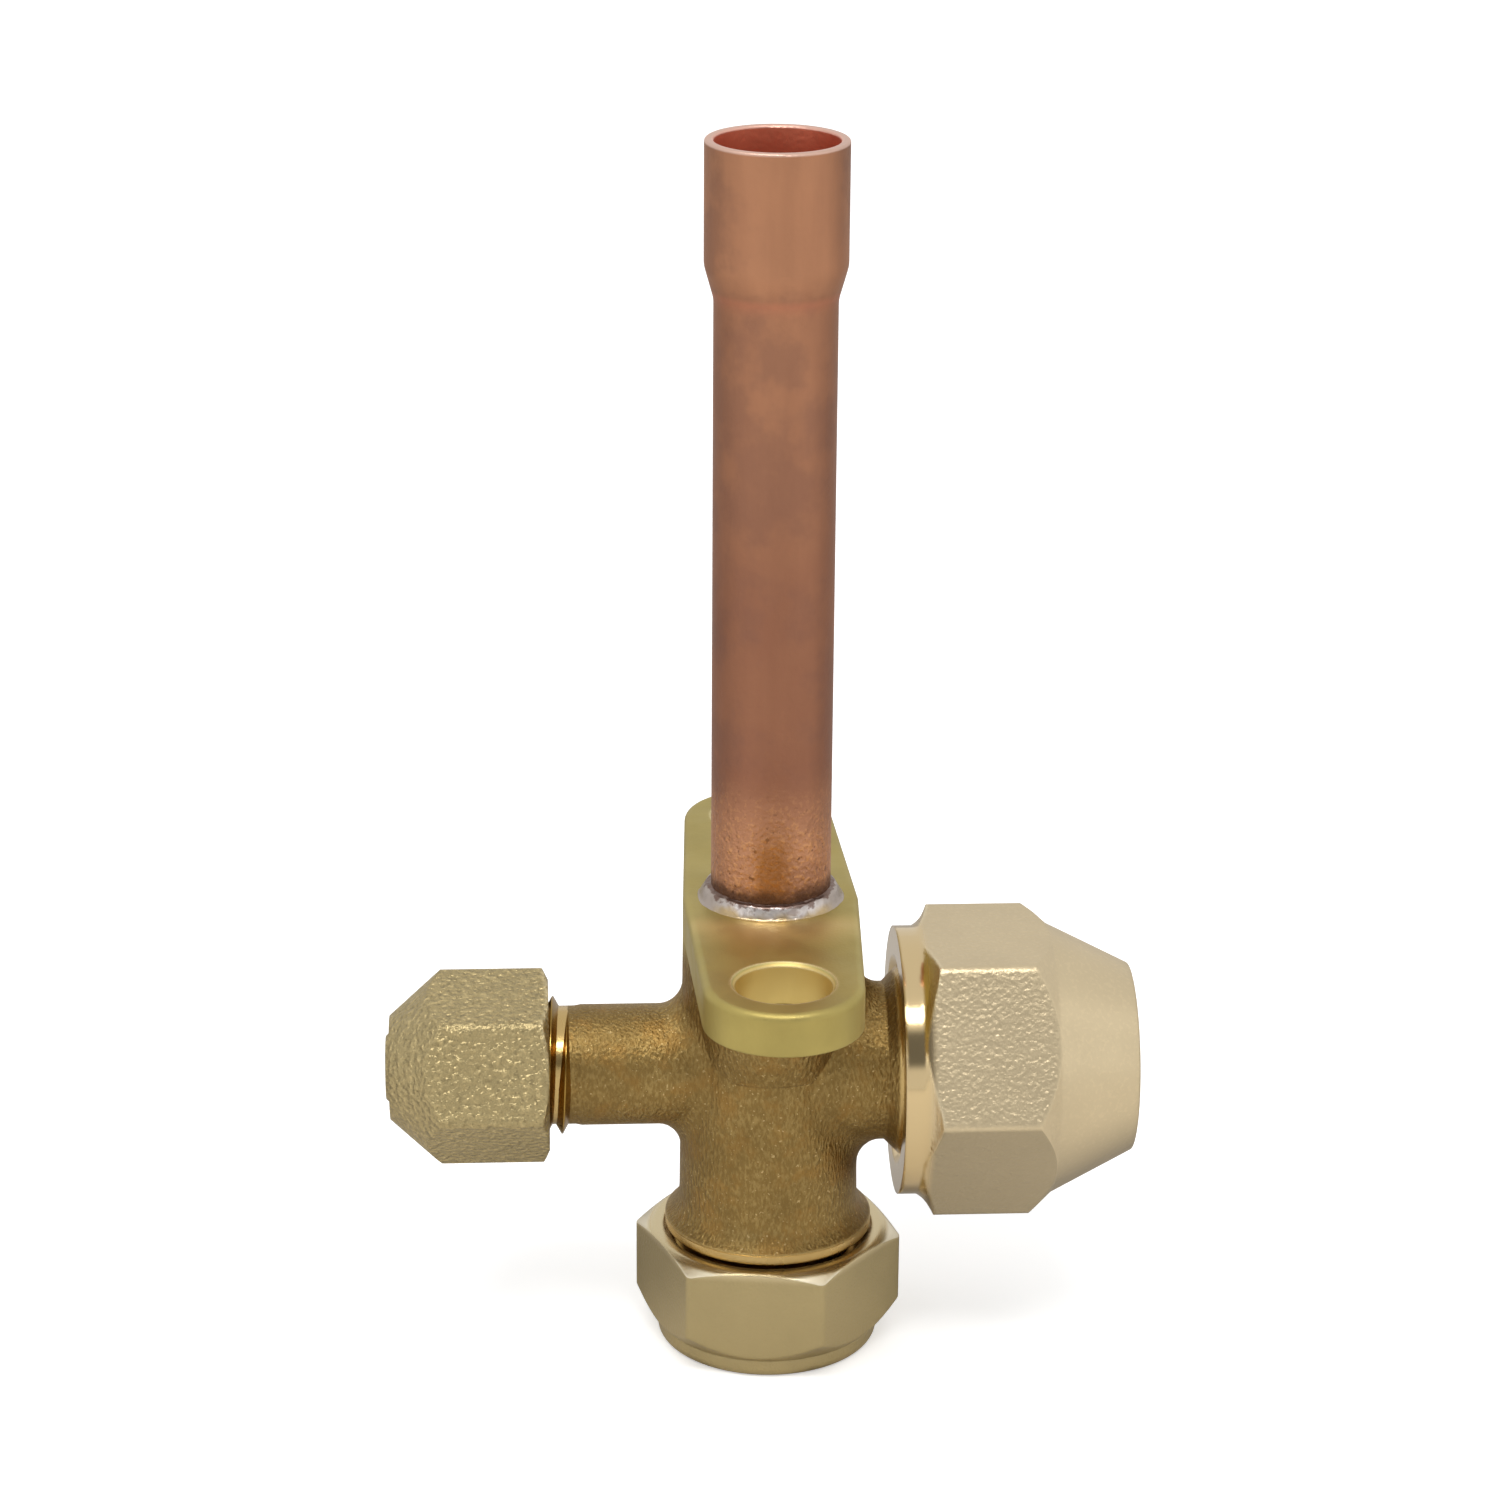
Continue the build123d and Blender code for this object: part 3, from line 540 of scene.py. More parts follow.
class VALVE_OT_body_finish(bpy.types.Operator):
    """Forged skin on the body, with its milled plate and turned ends"""

    bl_idname = "valve.body_finish"
    bl_label = "Forged body"

    def execute(self, context):
        made = Finish("Forged brass")
        net = made.net
        skin = made.skin("Forged skin", fleck_size=0.24 * MM)
        ragged = made.wobble(size=0.8 * MM, detail=2.0, reach=0.25 * MM)
        plate = net.step(net.maths("ADD", made.z, ragged), *PLATE_HEIGHT)
        # the screwed ends of the column and of both arms, and the bores that open there
        end = net.larger(net.step(made.z, *COLUMN_END), net.step(made.x, *CHARGING_END))
        end = net.larger(end, net.step(made.x, *FLARE_END))

        colour = net.mix(plate, self.forged(made, skin), self.milled(made))
        colour = net.mix(end, colour, settings().colours.turned)
        rough = net.mix(end, grey(SKIN_ROUGHNESS), grey(TURNED_ROUGHNESS))
        rough = net.mix(plate, rough, grey(SKIN_ROUGHNESS))
        rough = net.scale_add(net.maths("SUBTRACT", skin["Cloud"], 0.5), 0.08, rough)
        made.metal(colour, rough)
        machined = net.scale_add(net.larger(plate, end), -0.9, 1.0)
        made.relief(net.times(skin["Height"], machined), depth=0.10 * MM, edge=0.2 * MM)
        made.dress("valve_body")
        return {"FINISHED"}

    def forged(self, made, skin):
        tints = settings().colours
        net = made.net
        colour = net.mix(skin["Fleck"], tints.forged_dark, tints.forged_light)
        warm = made.noise(size=2.2 * MM, detail=3.0, roughness=0.6)
        colour = net.blend(colour, tints.forged_warm, net.step(warm, start=0.48, end=0.66), most=0.45)
        # painted glints: sparse bright specks in place of specular sparkle
        glint = made.noise(size=0.26 * MM, detail=1.0)
        colour = net.blend(colour, tints.forged_glint, net.step(glint, start=0.68, end=0.76), most=0.65)
        return net.blend(colour, toned(tints.forged_dark, 0.78), skin["Cloud"], most=0.35)

    def milled(self, made):
        tints = settings().colours
        net = made.net
        tarnish_and_sheen = made.skin("Tarnish", patch_size=5.0 * MM)
        colour = net.blend(tints.milled, toned(tints.milled, 0.8), tarnish_and_sheen["Patch"], most=0.5)
        heated = net.times(net.step(made.radius_about_z(), *HEAT_REACH), net.step(made.z, *HEAT_FACE))
        heated = net.times(heated, net.step(made.y, *HEAT_FRONT))
        colour = net.blend(colour, tints.milled_heated, heated, most=0.55)
        across = net.maths("SUBTRACT", net.maths("ABSOLUTE", made.y), LUG_Y)
        drilled = net.step(net.length(made.x, across), *LUG_HOLE_WALL)
        colour = net.mix(drilled, colour, tints.drilled)
        # painted highlight on the up-facing edges of the plate and its holes
        return net.blend(colour, tints.milled_edge, made.worn_edge(0.4 * MM), most=0.85)


# ---------------------------------------------------------------- flare nut
COLLAR = (NUT_MOUTH_X + 2.6 * MM, NUT_MOUTH_X + 1.6 * MM)
THREAD_BORE = (NUT_RADIUS - 2.6 * MM, NUT_RADIUS - 2.8 * MM)
HEXAGON = (NUT_MOUTH_X + 10.0 * MM, NUT_MOUTH_X + 9.2 * MM)
CONE = (NUT_MOUTH_X + 11.0 * MM, NUT_MOUTH_X + 13.0 * MM)
# Z part of the normal where the painted shade under the flare nut starts and where it is full
UNDERSIDE_SHADE = (-0.02, -0.65)


class VALVE_OT_flare_nut_finish(bpy.types.Operator):
    """Blasted forging skin on the flare nut, with a polished collar and mouth"""

    bl_idname = "valve.flare_nut_finish"
    bl_label = "Flare nut"

    def execute(self, context):
        tints = settings().colours
        made = Finish("Nut brass")
        net = made.net
        skin = made.skin("Blasted skin", hollow_size=0.36 * MM)
        tarnish_and_sheen = made.skin("Tarnish", patch_size=7.0 * MM)
        marks = made.skin("Lathe marks", along=made.x)
        cone = net.step(made.x, *CONE)
        bore = net.times(net.step(made.radius_about_ports(), *THREAD_BORE), net.remainder(cone))
        polished = net.larger(net.step(made.x, *COLLAR), bore)

        colour = net.blend(tints.nut, toned(tints.nut, 1.2), skin["Rim"], most=0.28)
        colour = net.blend(colour, toned(tints.nut, 0.82), tarnish_and_sheen["Patch"], most=0.3)
        # painted highlight on the up-facing edges of the hexagon
        edge = net.times(made.worn_edge(0.5 * MM), net.step(made.x, *HEXAGON))
        colour = net.blend(colour, tints.nut_edge, edge, most=0.7)
        # painted shade: the faces of the nut that point down are darkened
        colour = net.blend(colour, toned(tints.nut, 0.55), net.step(made.facing_up(), *UNDERSIDE_SHADE), most=0.8)
        colour = net.mix(polished, colour, tints.nut_polished)
        made.metal(colour, net.mix(polished, grey(0.42), grey(0.12)))

        blasted = net.times(skin["Height"], net.scale_add(cone, -0.6, 1.0))
        blasted = net.times(blasted, net.remainder(polished))
        height = net.scale_add(net.times(marks["Mark"], polished), 0.06, blasted)
        made.relief(height, depth=0.045 * MM, edge=0.45 * MM)
        made.dress("flare_nut")
        return {"FINISHED"}


# ---------------------------------------------------------------- caps
SERVICE_HEXAGON = (SERVICE_MOUTH_X - 8.2 * MM, SERVICE_MOUTH_X - 7.4 * MM)
CAP_RING = (CAP_MOUTH_Z - 0.9 * MM, CAP_MOUTH_Z - 0.02 * MM)
CAP_BORE_WALL = (8.62 * MM, 8.5 * MM)
CAP_BORE_FLOOR = (FLOOR_Z + 1.0 * MM, FLOOR_Z + 1.4 * MM)
BEVEL_SLOPE = (0.5, 0.8)
BEVEL_RADIUS = (9.65 * MM, 10.1 * MM)
BEVEL_HEIGHT = (CAP_MOUTH_Z - 2.4 * MM, CAP_MOUTH_Z - 2.2 * MM)
BEVEL_CROWN = 0.42


class VALVE_OT_caps_finish(bpy.types.Operator):
    """Blasted skin on the service cap and a finer one on the stem cap"""

    bl_idname = "valve.caps_finish"
    bl_label = "Caps"

    def execute(self, context):
        self.service_cap(settings().colours)
        self.stem_cap(settings().colours)
        return {"FINISHED"}

    def service_cap(self, tints):
        made = Finish("Service cap brass")
        net = made.net
        skin = made.skin("Blasted skin", hollow_size=0.45 * MM)
        tarnish_and_sheen = made.skin("Tarnish", patch_size=6.0 * MM)
        colour = net.blend(tints.service_cap, toned(tints.service_cap, 1.7), skin["Rim"], most=0.42)
        pit = net.step(made.noise(size=0.38 * MM), start=0.44, end=0.34)
        colour = net.blend(colour, toned(tints.service_cap, 0.5), pit, most=0.45)
        # painted highlight on the up-facing edges of the hexagon
        edge = net.times(made.worn_edge(0.6 * MM), net.step(made.x, *SERVICE_HEXAGON))
        colour = net.blend(colour, tints.service_cap_edge, edge, most=0.9)
        colour = net.blend(colour, toned(tints.service_cap, 0.8), tarnish_and_sheen["Patch"], most=0.3)
        made.metal(colour, 0.44)
        made.relief(skin["Height"], depth=0.22 * MM, edge=0.4 * MM)
        made.dress("service_cap")

    def stem_cap(self, tints):
        made = Finish("Stem cap brass")
        net = made.net
        skin = made.skin("Blasted skin", hollow_size=0.22 * MM)
        tarnish_and_sheen = made.skin("Tarnish", patch_size=6.0 * MM)
        radius = made.radius_about_z()
        marks = made.skin("Lathe marks", along=radius)
        ring = net.step(made.z, *CAP_RING)
        bore = net.times(net.step(radius, *CAP_BORE_WALL), net.step(made.z, *CAP_BORE_FLOOR))
        turned = net.larger(ring, bore)
        bevel = net.times(net.step(made.facing_up(), *BEVEL_SLOPE), net.step(radius, *BEVEL_RADIUS))
        bevel = net.times(bevel, net.step(made.z, *BEVEL_HEIGHT))

        colour = net.blend(tints.stem_cap, toned(tints.stem_cap, 0.84), tarnish_and_sheen["Patch"], most=0.35)
        colour = net.blend(colour, tints.stem_cap_ring, ring, most=0.8)
        # painted highlight: the bevelled corners are brightened where they would catch the key light
        colour = net.blend(colour, tints.stem_cap_bevel, bevel, most=0.8)
        colour = net.mix(bore, colour, tints.turned)
        rough = net.mix(turned, grey(0.40), grey(TURNED_ROUGHNESS))
        made.metal(colour, rough)
        height = net.times(skin["Height"], net.remainder(turned))
        height = net.scale_add(net.times(marks["Mark"], ring), 0.3, height)
        made.relief(height, depth=0.03 * MM, edge=0.4 * MM)
        self.crown(made, bevel)
        made.dress("stem_cap")

    def crown(self, made, bevel):
        """Leans the normals of the bevelled corners outward, as on a slightly crowned face."""
        net = made.net
        outward = net.vector("NORMALIZE", net.joined(X=made.x, Y=made.y))[0]
        lean = {0: outward, "Scale": net.times(bevel, BEVEL_CROWN)}
        lean = net.add("ShaderNodeVectorMath", lean, operation="SCALE").outputs[0]
        flat = made.shader.inputs["Normal"].links[0].from_socket
        crowned = net.vector("ADD", flat, lean)[0]
        made.set(Normal=net.vector("NORMALIZE", crowned)[0])


# ---------------------------------------------------------------- pieces inside
class VALVE_OT_inner_finish(bpy.types.Operator):
    """Turned brass, steel, rubber and nylon of the pieces inside"""

    bl_idname = "valve.inner_finish"
    bl_label = "Inner pieces"

    def execute(self, context):
        tints = settings().colours
        self.brass(tints)
        self.steel(tints)
        rubber = ("stem_o_ring_1", "stem_o_ring_2", "service_cap_seal", "core_pad")
        self.soft("Seal rubber", tints.rubber, 0.55, *rubber)
        self.soft("White nylon", tints.nylon, 0.5, "stem_cap_seal", "core_gasket")
        return {"FINISHED"}

    def brass(self, tints):
        made = Finish("Turned brass")
        along = made.net.maths("ADD", made.x, made.z)
        mark = made.skin("Lathe marks", along=along, mark_size=0.1 * MM)["Mark"]
        colour = made.net.mix(mark, tints.turned, toned(tints.turned, 0.8))
        made.metal(colour, 0.24)
        made.relief(mark, depth=0.006 * MM, edge=0.05 * MM)
        made.dress("valve_stem", "core_head", "core_barrel", "core_pin", "core_cup")

    def steel(self, tints):
        made = Finish("Spring steel")
        grain = made.noise(size=0.1 * MM, detail=3.0)
        colour = made.net.mix(grain, tints.steel, toned(tints.steel, 0.7))
        made.metal(colour, 0.3)
        made.relief(grain, depth=0.005 * MM)
        made.dress("stem_clip", "core_spring")

    def soft(self, name, colour, roughness, *nodes):
        made = Finish(name)
        grain = made.noise(size=0.15 * MM, detail=3.0)
        rough = made.net.scaled(grain, roughness - 0.08, roughness + 0.08)
        made.set(Base_Color=made.net.mix(grain, colour, toned(colour, 0.8)), Roughness=rough)
        made.relief(grain, depth=0.01 * MM)
        made.dress(*nodes)


# ---------------------------------------------------------------- braze bead
BEAD_INNER = 4.70 * MM
BEAD_HEM_Z = -0.02 * MM
BEAD_AROUND = 240
BEAD_ACROSS = 14
BEAD_DULL_FROM = (-1.8 * MM, -4.2 * MM)
BEAD_CRACK_RADIUS = (5.78 * MM, 5.64 * MM)
BEAD_FILM_RADIUS = (5.55 * MM, 5.8 * MM)
BEAD_FILM_FRONT = (-2.5 * MM, -4.0 * MM)
SWELL_WAVES, SWELL_SHIFT = 2.6, Vector((3.1, 0.0, 0.0))
LUMP_WAVES, LUMP_SHIFT = 9.0, Vector((0.0, 7.7, 0.0))
RIPPLE_WAVES, RIPPLE_TWIST, RIPPLE_DEPTH = 16.0, 3.0, 0.05 * MM
ROLL_SHARE = 0.62          # how far across the run its rounded outer roll reaches
ROLL_LIFT = 0.78
WICK_LIFT = 0.14           # the last rise, where the alloy creeps up the stub


def settle(shape, mesh):
    """Points a shape's faces outward, shades them smooth and hands the shape to a mesh."""
    bmesh.ops.recalc_face_normals(shape, faces=shape.faces)
    for face in shape.faces:
        face.smooth = True
    shape.to_mesh(mesh)
    shape.free()


def link_piece(name, mesh, material, body, replaced=()):
    """Links a finished mesh as a piece that rides on a body."""
    piece = linked(name, mesh)
    mesh.materials.clear()
    mesh.materials.append(material)
    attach(piece, body)
    if replaced:
        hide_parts(*replaced)
    return piece


class VALVE_OT_braze_bead(bpy.types.Operator):
    """Uneven run of silver braze round the foot of the stub"""

    bl_idname = "valve.braze_bead"
    bl_label = "Braze bead"

    def execute(self, context):
        mesh = bmesh.new()
        rings = [self.ring(mesh, 2 * math.pi * i / BEAD_AROUND) for i in range(BEAD_AROUND)]
        for ring, after in zip(rings, rings[1:] + rings[:1]):
            for j in range(len(ring)):
                k = (j + 1) % len(ring)
                mesh.faces.new((ring[j], after[j], after[k], ring[k]))
        run = bpy.data.meshes.new("braze_run")
        settle(mesh, run)
        link_piece("braze_run", run, self.finish(settings().colours), "valve", ["braze_bead"])
        return {"FINISHED"}

    def ring(self, mesh, turn):
        """One section of the run, from its outer edge up to the stub and back underneath."""
        direction = Vector((math.cos(turn), math.sin(turn), 0.0))
        swell = noise.noise(direction * SWELL_WAVES + SWELL_SHIFT)
        lump = noise.noise(direction * LUMP_WAVES + LUMP_SHIFT)
        front = max(0.0, -direction.y) ** 2
        reach = high("braze_bead").x * (0.99 - 0.012 * lump - 0.010 * swell - 0.045 * front)
        tall = high("braze_bead").z * (1.16 + 0.08 * swell + 0.04 * lump)
        ring = []
        for j in range(BEAD_ACROSS + 1):
            share = j / BEAD_ACROSS
            radius = reach + (BEAD_INNER - reach) * share
            roll = min(1.0, share / ROLL_SHARE)
            lift = tall * (ROLL_LIFT * roll * roll * (3 - 2 * roll) + WICK_LIFT * share ** 3)
            spot = direction * RIPPLE_WAVES + Vector((0, 0, RIPPLE_TWIST * share))
            ripple = RIPPLE_DEPTH * noise.noise(spot) * share
            ring.append(mesh.verts.new(direction * radius + Vector((0, 0, max(0.0, lift + ripple)))))
        for radius in (BEAD_INNER, reach):
            ring.append(mesh.verts.new(direction * radius + Vector((0, 0, BEAD_HEM_Z))))
        return ring

    def finish(self, tints):
        made = Finish("Silver braze")
        net = made.net
        radius = made.radius_about_z()
        cloud = made.noise(size=0.9 * MM, detail=3.0, distortion=0.6)
        colour = net.blend(tints.silver, tints.silver_flux, net.step(cloud, start=0.52, end=0.66), most=0.5)
        front = net.step(net.scale_add(cloud, 1.5 * MM, made.y), *BEAD_DULL_FROM)
        colour = net.mix(net.remainder(front), colour, tints.silver_dull)
        ragged = made.noise(size=0.8 * MM, detail=3.0)
        crack = net.step(net.scale_add(ragged, 1.1 * MM, radius), *BEAD_CRACK_RADIUS)
        colour = net.blend(colour, tints.silver_crack, crack, most=0.8)
        ragged = made.noise(size=1.4 * MM)
        film = net.step(net.scale_add(ragged, 0.5 * MM, radius), *BEAD_FILM_RADIUS)
        film = net.times(film, net.step(made.y, *BEAD_FILM_FRONT))
        colour = net.blend(colour, tints.silver_film, film, most=0.85)
        made.metal(colour, net.scaled(cloud, 0.24, 0.48))
        made.relief(cloud, depth=0.10 * MM)
        return made.material


# ---------------------------------------------------------------- core spring
class VALVE_OT_core_spring(bpy.types.Operator):
    """Core spring, copied from its CAD node as a piece that rides on the valve"""

    bl_idname = "valve.core_spring"
    bl_label = "Core spring"

    def execute(self, context):
        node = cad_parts["core_spring"]
        shape = node.data.copy()
        shape.transform(node.matrix_world)
        material = node.data.materials[0]
        piece = link_piece("core_coil", shape, material, "valve", ["core_spring"])
        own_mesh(piece)
        return {"FINISHED"}


# ---------------------------------------------------------------- screw threads
FLANK_ANGLE = math.radians(30)
SHARP_ANGLE = math.radians(25)
WELD_DISTANCE = 1e-7
TIP_SCALE = 0.02           # what is left of a ridge's section at its very end
FOOT_SUNK = 0.03 * MM      # how far a ridge's foot stands inside the metal that carries it
BORE_ROOM = 0.05 * MM      # how far a nut's bore stands outside the major diameter
NUT_STARTS = 2.5           # turns after the male ridge's start
NUT_SHORTER = 2.0          # turns that a nut's ridge lacks
# along each thread's own axis, where its male ridge starts and how far it runs
CAP_RIDGE = (0.35 * MM - CAP_MOUTH_Z, CAP_MOUTH_Z - BODY_END_Z - 1.3 * MM)
SERVICE_RIDGE = (-1.55 * MM - SERVICE_MOUTH_X, SERVICE_MOUTH_X - SERVICE_TIP_X)
FLARE_RIDGE = (NUT_MOUTH_X + 1.3 * MM, FLARE_TIP_X - NUT_MOUTH_X - 4.6 * MM)


def ridge_tree():
    """Geometry Nodes: one helical ridge round Z, its ends drawn down to nothing."""
    tree = bpy.data.node_groups.new("Thread ridge", "GeometryNodeTree")
    give_inputs(
        tree, foot_radius=8.0 * MM, pitch=1.5 * MM, turns=4.0, rise=0.9 * MM, foot_width=1.2 * MM,
        crest_width=0.15 * MM, run_out=0.25, points_per_turn=72, material="Material",
    )
    tree.interface.new_socket("Geometry", in_out="OUTPUT", socket_type="NodeSocketGeometry")
    net = Net(tree)
    given = net.add("NodeGroupInput").outputs

    helix = {
        "Resolution": given["Points per turn"], "Rotations": given["Turns"],
        "Start Radius": given["Foot radius"], "End Radius": given["Foot radius"],
        "Height": net.times(given["Turns"], given["Pitch"]),
    }
    helix = net.add("GeometryNodeCurveSpiral", helix).outputs[0]
    upright = net.add("GeometryNodeSetCurveNormal", {"Curve": helix}, mode="Z_UP").outputs[0]
    turned = net.times(net.add("GeometryNodeSplineParameter").outputs["Factor"], given["Turns"])
    nearest = net.maths("MINIMUM", turned, net.maths("SUBTRACT", given["Turns"], turned))
    fade = net.maths("MINIMUM", net.maths("DIVIDE", nearest, given["Run out"]), 1.0)
    fade = net.larger(fade, TIP_SCALE)

    section = {
        "Height": net.maths("ABSOLUTE", given["Rise"]), "Offset": 0.0,
        "Bottom Width": given["Foot width"], "Top Width": given["Crest width"],
    }
    section = net.add("GeometryNodeCurvePrimitiveQuadrilateral", section, mode="TRAPEZOID").outputs[0]
    # the profile's X points at the axis, so an outward ridge is lifted and turned the other way
    lift = net.joined(X=net.times(given["Rise"], -0.5))
    facing = net.joined(Z=net.times(net.maths("SIGN", given["Rise"]), math.pi / 2))
    placed = {"Geometry": section, "Translation": lift, "Rotation": facing}
    placed = net.add("GeometryNodeTransform", placed).outputs[0]

    solid = {"Curve": upright, "Profile Curve": placed, "Scale": fade, "Fill Caps": True}
    solid = net.add("GeometryNodeCurveToMesh", solid).outputs[0]
    single = net.add("GeometryNodeRealizeInstances", {"Geometry": solid}).outputs[0]
    dressed = {"Geometry": single, "Material": given["Material"]}
    dressed = net.add("GeometryNodeSetMaterial", dressed).outputs[0]
    net.tree.links.new(dressed, net.add("NodeGroupOutput").inputs[0])
    return tree


def ridge(name, tree, material, place, body, slot, **sizes):
    """Runs the ridge tree with its sizes, turns the result into a plain mesh and puts it in place."""
    host = linked("ridge_host", bpy.data.meshes.new("ridge_host"))
    modifier = host.modifiers.new("Ridge", "NODES")
    modifier.node_group = tree
    sizes["material"] = material
    for item in tree.interface.items_tree:
        key = item.name.lower().replace(" ", "_")
        if item.in_out == "INPUT" and key in sizes:
            modifier[item.identifier] = sizes[key]
    bpy.context.view_layer.update()
    evaluated = host.evaluated_get(bpy.context.evaluated_depsgraph_get())
    mesh = bpy.data.meshes.new_from_object(evaluated)
    bpy.data.objects.remove(host)
    mesh.name = name
    mesh.transform(place)
    shape = bmesh.new()
    shape.from_mesh(mesh)
    bmesh.ops.remove_doubles(shape, verts=shape.verts, dist=WELD_DISTANCE)
    settle(shape, mesh)
    mesh.set_sharp_from_angle(angle=SHARP_ANGLE)
    link_piece(name, mesh, material, body)


class VALVE_OT_screw_threads(bpy.types.Operator):
    """Right-hand ridges on the three screwed ends, and in the caps and the nut that run on them"""

    bl_idname = "valve.screw_threads"
    bl_label = "Screw threads"

    def execute(self, context):
        sizes = settings().threads
        material = self.finish(settings().colours)
        tree = ridge_tree()
        to_ports = Matrix.Translation((0.0, 0.0, PORT_Z))
        down = Matrix.Rotation(math.pi, 4, "X")
        left = to_ports @ Matrix.Rotation(-math.pi / 2, 4, "Y")
        right = to_ports @ Matrix.Rotation(math.pi / 2, 4, "Y")
        for nut, axis, (start, run), diameter, pitch in (
            ("stem_cap", down, CAP_RIDGE, sizes.cap_diameter, sizes.cap_pitch),
            ("service_cap", left, SERVICE_RIDGE, sizes.service_diameter, sizes.service_pitch),
            ("flare_nut", right, FLARE_RIDGE, sizes.flare_diameter, sizes.flare_pitch),
        ):
            crest = pitch * sizes.crest_share
            rise = sizes.depth_share * pitch
            foot = crest + 2 * rise * math.tan(FLANK_ANGLE)
            room = 2 * sizes.flank_room
            ridge(
                f"{nut}_port_thread", tree, material, axis @ Matrix.Translation((0, 0, start)),
                "valve", "forged_brass", points_per_turn=sizes.points,
                foot_radius=diameter / 2 - rise - FOOT_SUNK, rise=rise + FOOT_SUNK,
                pitch=pitch, turns=run / pitch, foot_width=foot, crest_width=crest,
            )
            ridge(
                f"{nut}_thread", tree, material,
                axis @ Matrix.Translation((0, 0, start + NUT_STARTS * pitch)),
                nut, "turned_brass", points_per_turn=sizes.points,
                foot_radius=diameter / 2 + BORE_ROOM + FOOT_SUNK, rise=-(rise - room + FOOT_SUNK),
                pitch=pitch, turns=max(1.0, run / pitch - NUT_SHORTER),
                foot_width=foot - room, crest_width=crest,
            )
        return {"FINISHED"}

    def finish(self, tints):
        made = Finish("Cut thread")
        grain = made.noise(size=0.25 * MM, detail=3.0)
        colour = made.net.mix(grain, tints.thread, toned(tints.thread, 0.75))
        made.metal(colour, 0.24)
        made.relief(grain, depth=0.01 * MM, edge=0.04 * MM)
        return made.material


# ---------------------------------------------------------------- studio
AIM = (0.0, 0.0, 10 * MM)
SENSOR_WIDTH = 36.0
CLIP_START, CLIP_END = 0.01, 20.0
FLOOR_GAP = 0.01 * MM
# where, along Y, the floor seen in reflections turns to its painted shadow
FLOOR_SHADOW_EDGE = (-6.0 * MM, 8.0 * MM)
# where the dark stretch lies, in parts of a direction from the valve
ROOM_FRONT = (-0.15, -0.5)
ROOM_FOOT = (0.24, 0.36)
ROOM_TOP = (0.80, 0.70)
CARD_STRENGTH = 0.85


def area_light(name, place, size, power):
    """A white rectangle of light that faces the valve."""
    data = bpy.data.lights.new(name, "AREA")
    data.shape = "RECTANGLE"
    data.size, data.size_y = size
    data.energy = power
    lamp = linked(name, data)
    lamp.location = place
    lamp.rotation_mode = "QUATERNION"
    lamp.rotation_quaternion = (Vector(AIM) - Vector(place)).to_track_quat("-Z", "Y")


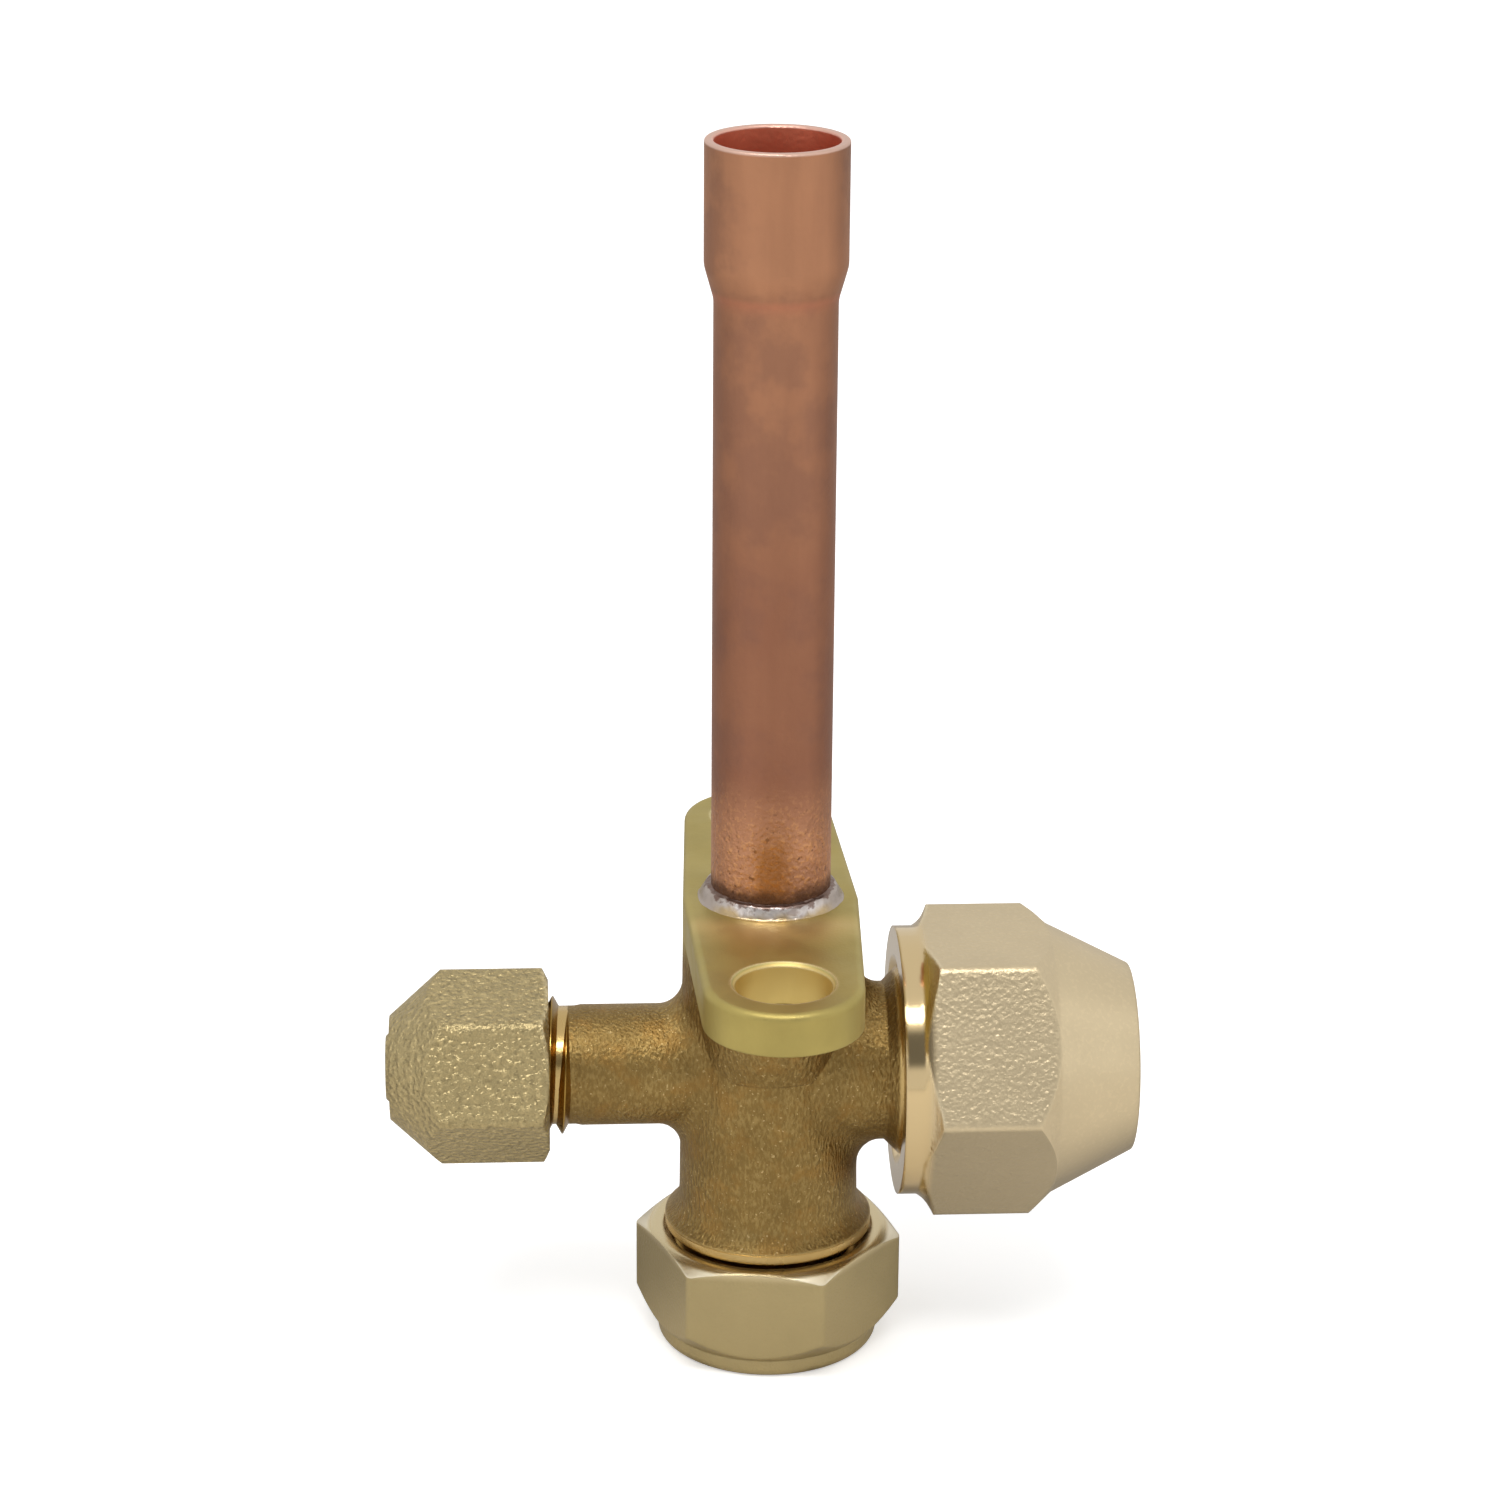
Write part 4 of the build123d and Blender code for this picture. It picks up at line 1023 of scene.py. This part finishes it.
class VALVE_OT_studio(bpy.types.Operator):
    """Pale floor, soft lights, white surroundings and the camera"""

    bl_idname = "valve.studio"
    bl_label = "Studio"

    def execute(self, context):
        studio = settings().studio
        context.scene.view_settings.view_transform = "Standard"
        self.camera(context.scene, studio)
        self.floor(studio)
        self.surroundings(context.scene, studio)
        area_light("key", (-0.08, -0.36, 0.72), (0.60, 0.16), studio.key)
        area_light("fill_right", (0.60, -0.32, 0.30), (0.75, 0.60), studio.fill_right)
        area_light("fill_left", (-0.65, -0.40, 0.30), (0.35, 0.35), studio.fill_left)
        return {"FINISHED"}

    def camera(self, scene, studio):
        azimuth, elevation, roll = studio.azimuth, studio.elevation, studio.roll
        level = Vector((math.cos(azimuth), math.sin(azimuth), 0.0))
        away = Vector((math.sin(azimuth), -math.cos(azimuth), 0.0))
        back = away * math.cos(elevation) + Vector((0.0, 0.0, math.sin(elevation)))
        right = math.cos(roll) * level + math.sin(roll) * back.cross(level)
        turn = Matrix((right, back.cross(right), back)).transposed()
        place = Vector((studio.target_x, 0.0, studio.target_z)) + back * studio.distance
        data = bpy.data.cameras.new("camera")
        data.lens = studio.lens
        data.sensor_width = SENSOR_WIDTH
        data.clip_start = CLIP_START
        data.clip_end = CLIP_END
        camera = linked("camera", data)
        camera.matrix_world = Matrix.Translation(place) @ turn.to_4x4()
        scene.camera = camera

    def floor(self, studio):
        half = studio.floor_size / 2
        signs = ((-1, -1), (1, -1), (1, 1), (-1, 1))
        corners = [(x * half, y * half, FLOOR_Z - FLOOR_GAP) for x, y in signs]
        mesh = bpy.data.meshes.new("floor")
        mesh.from_pydata(corners, [], [(0, 1, 2, 3)])
        floor = linked("floor", mesh)
        made = Finish("Floor")
        net = made.net
        path = net.add("ShaderNodeLightPath").outputs
        # painted shadow: reflections see the floor behind the valve darker, in place of the valve's shadow
        # there
        mirrored = net.mix(net.step(made.y, *FLOOR_SHADOW_EDGE), studio.floor_before, studio.floor_behind)
        made.set(Base_Color=net.mix(path["Is Glossy Ray"], studio.floor, mirrored), Roughness=0.8)
        glow = net.times(path["Is Camera Ray"], studio.floor_glow)
        made.set(Emission_Color=grey(1.0), Emission_Strength=glow)
        made.shader.inputs["Specular IOR Level"].default_value = 0.2
        mesh.materials.append(made.material)

    def surroundings(self, scene, studio):
        """White card all round, with a dark stretch in front at middle height, where the room is."""
        world = bpy.data.worlds.new("Studio")
        world.use_nodes = True
        scene.world = world
        net = Net(world.node_tree)
        way = net.add("ShaderNodeTexCoord").outputs["Generated"]
        way = net.split(way)
        band = net.times(net.step(way["Z"], *ROOM_FOOT), net.step(way["Z"], *ROOM_TOP))
        dark = net.times(net.step(way["Y"], *ROOM_FRONT), band)
        seen = net.add("ShaderNodeLightPath").outputs["Is Camera Ray"]
        shade = world.node_tree.nodes["Background"]
        net.feed(shade.inputs["Color"], net.mix(seen, net.mix(dark, studio.card, studio.room), grey(1.0)))
        net.feed(shade.inputs["Strength"], net.scaled(seen, CARD_STRENGTH, 1.0))


# ---------------------------------------------------------------- add-on
class VALVE_PT_panel(bpy.types.Panel):
    bl_idname = "VALVE_PT_panel"
    bl_label = "Service valve"
    bl_space_type = "VIEW_3D"
    bl_region_type = "UI"
    bl_category = "Service valve"

    def draw(self, context):
        for operator in OPERATORS:
            self.layout.operator(operator.bl_idname)
        for group in (settings().threads, settings().colours, settings().studio):
            box = self.layout.box()
            for name in group.__annotations__:
                box.prop(group, name)


OPERATORS = (
    VALVE_OT_studio,
    VALVE_OT_copper_finish,
    VALVE_OT_body_finish,
    VALVE_OT_flare_nut_finish,
    VALVE_OT_caps_finish,
    VALVE_OT_inner_finish,
    VALVE_OT_braze_bead,
    VALVE_OT_core_spring,
    VALVE_OT_screw_threads,
)
CLASSES = (ThreadSizes, FinishColours, StudioSettings, ServiceValveSettings, *OPERATORS, VALVE_PT_panel)


def register():
    for cls in CLASSES:
        bpy.utils.register_class(cls)
    bpy.types.Scene.service_valve = PointerProperty(type=ServiceValveSettings)


def unregister():
    del bpy.types.Scene.service_valve
    for cls in reversed(CLASSES):
        bpy.utils.unregister_class(cls)


def main():
    register()
    for operator in OPERATORS:
        group, name = operator.bl_idname.split(".")
        getattr(getattr(bpy.ops, group), name)()


if __name__ == "__main__":
    main()
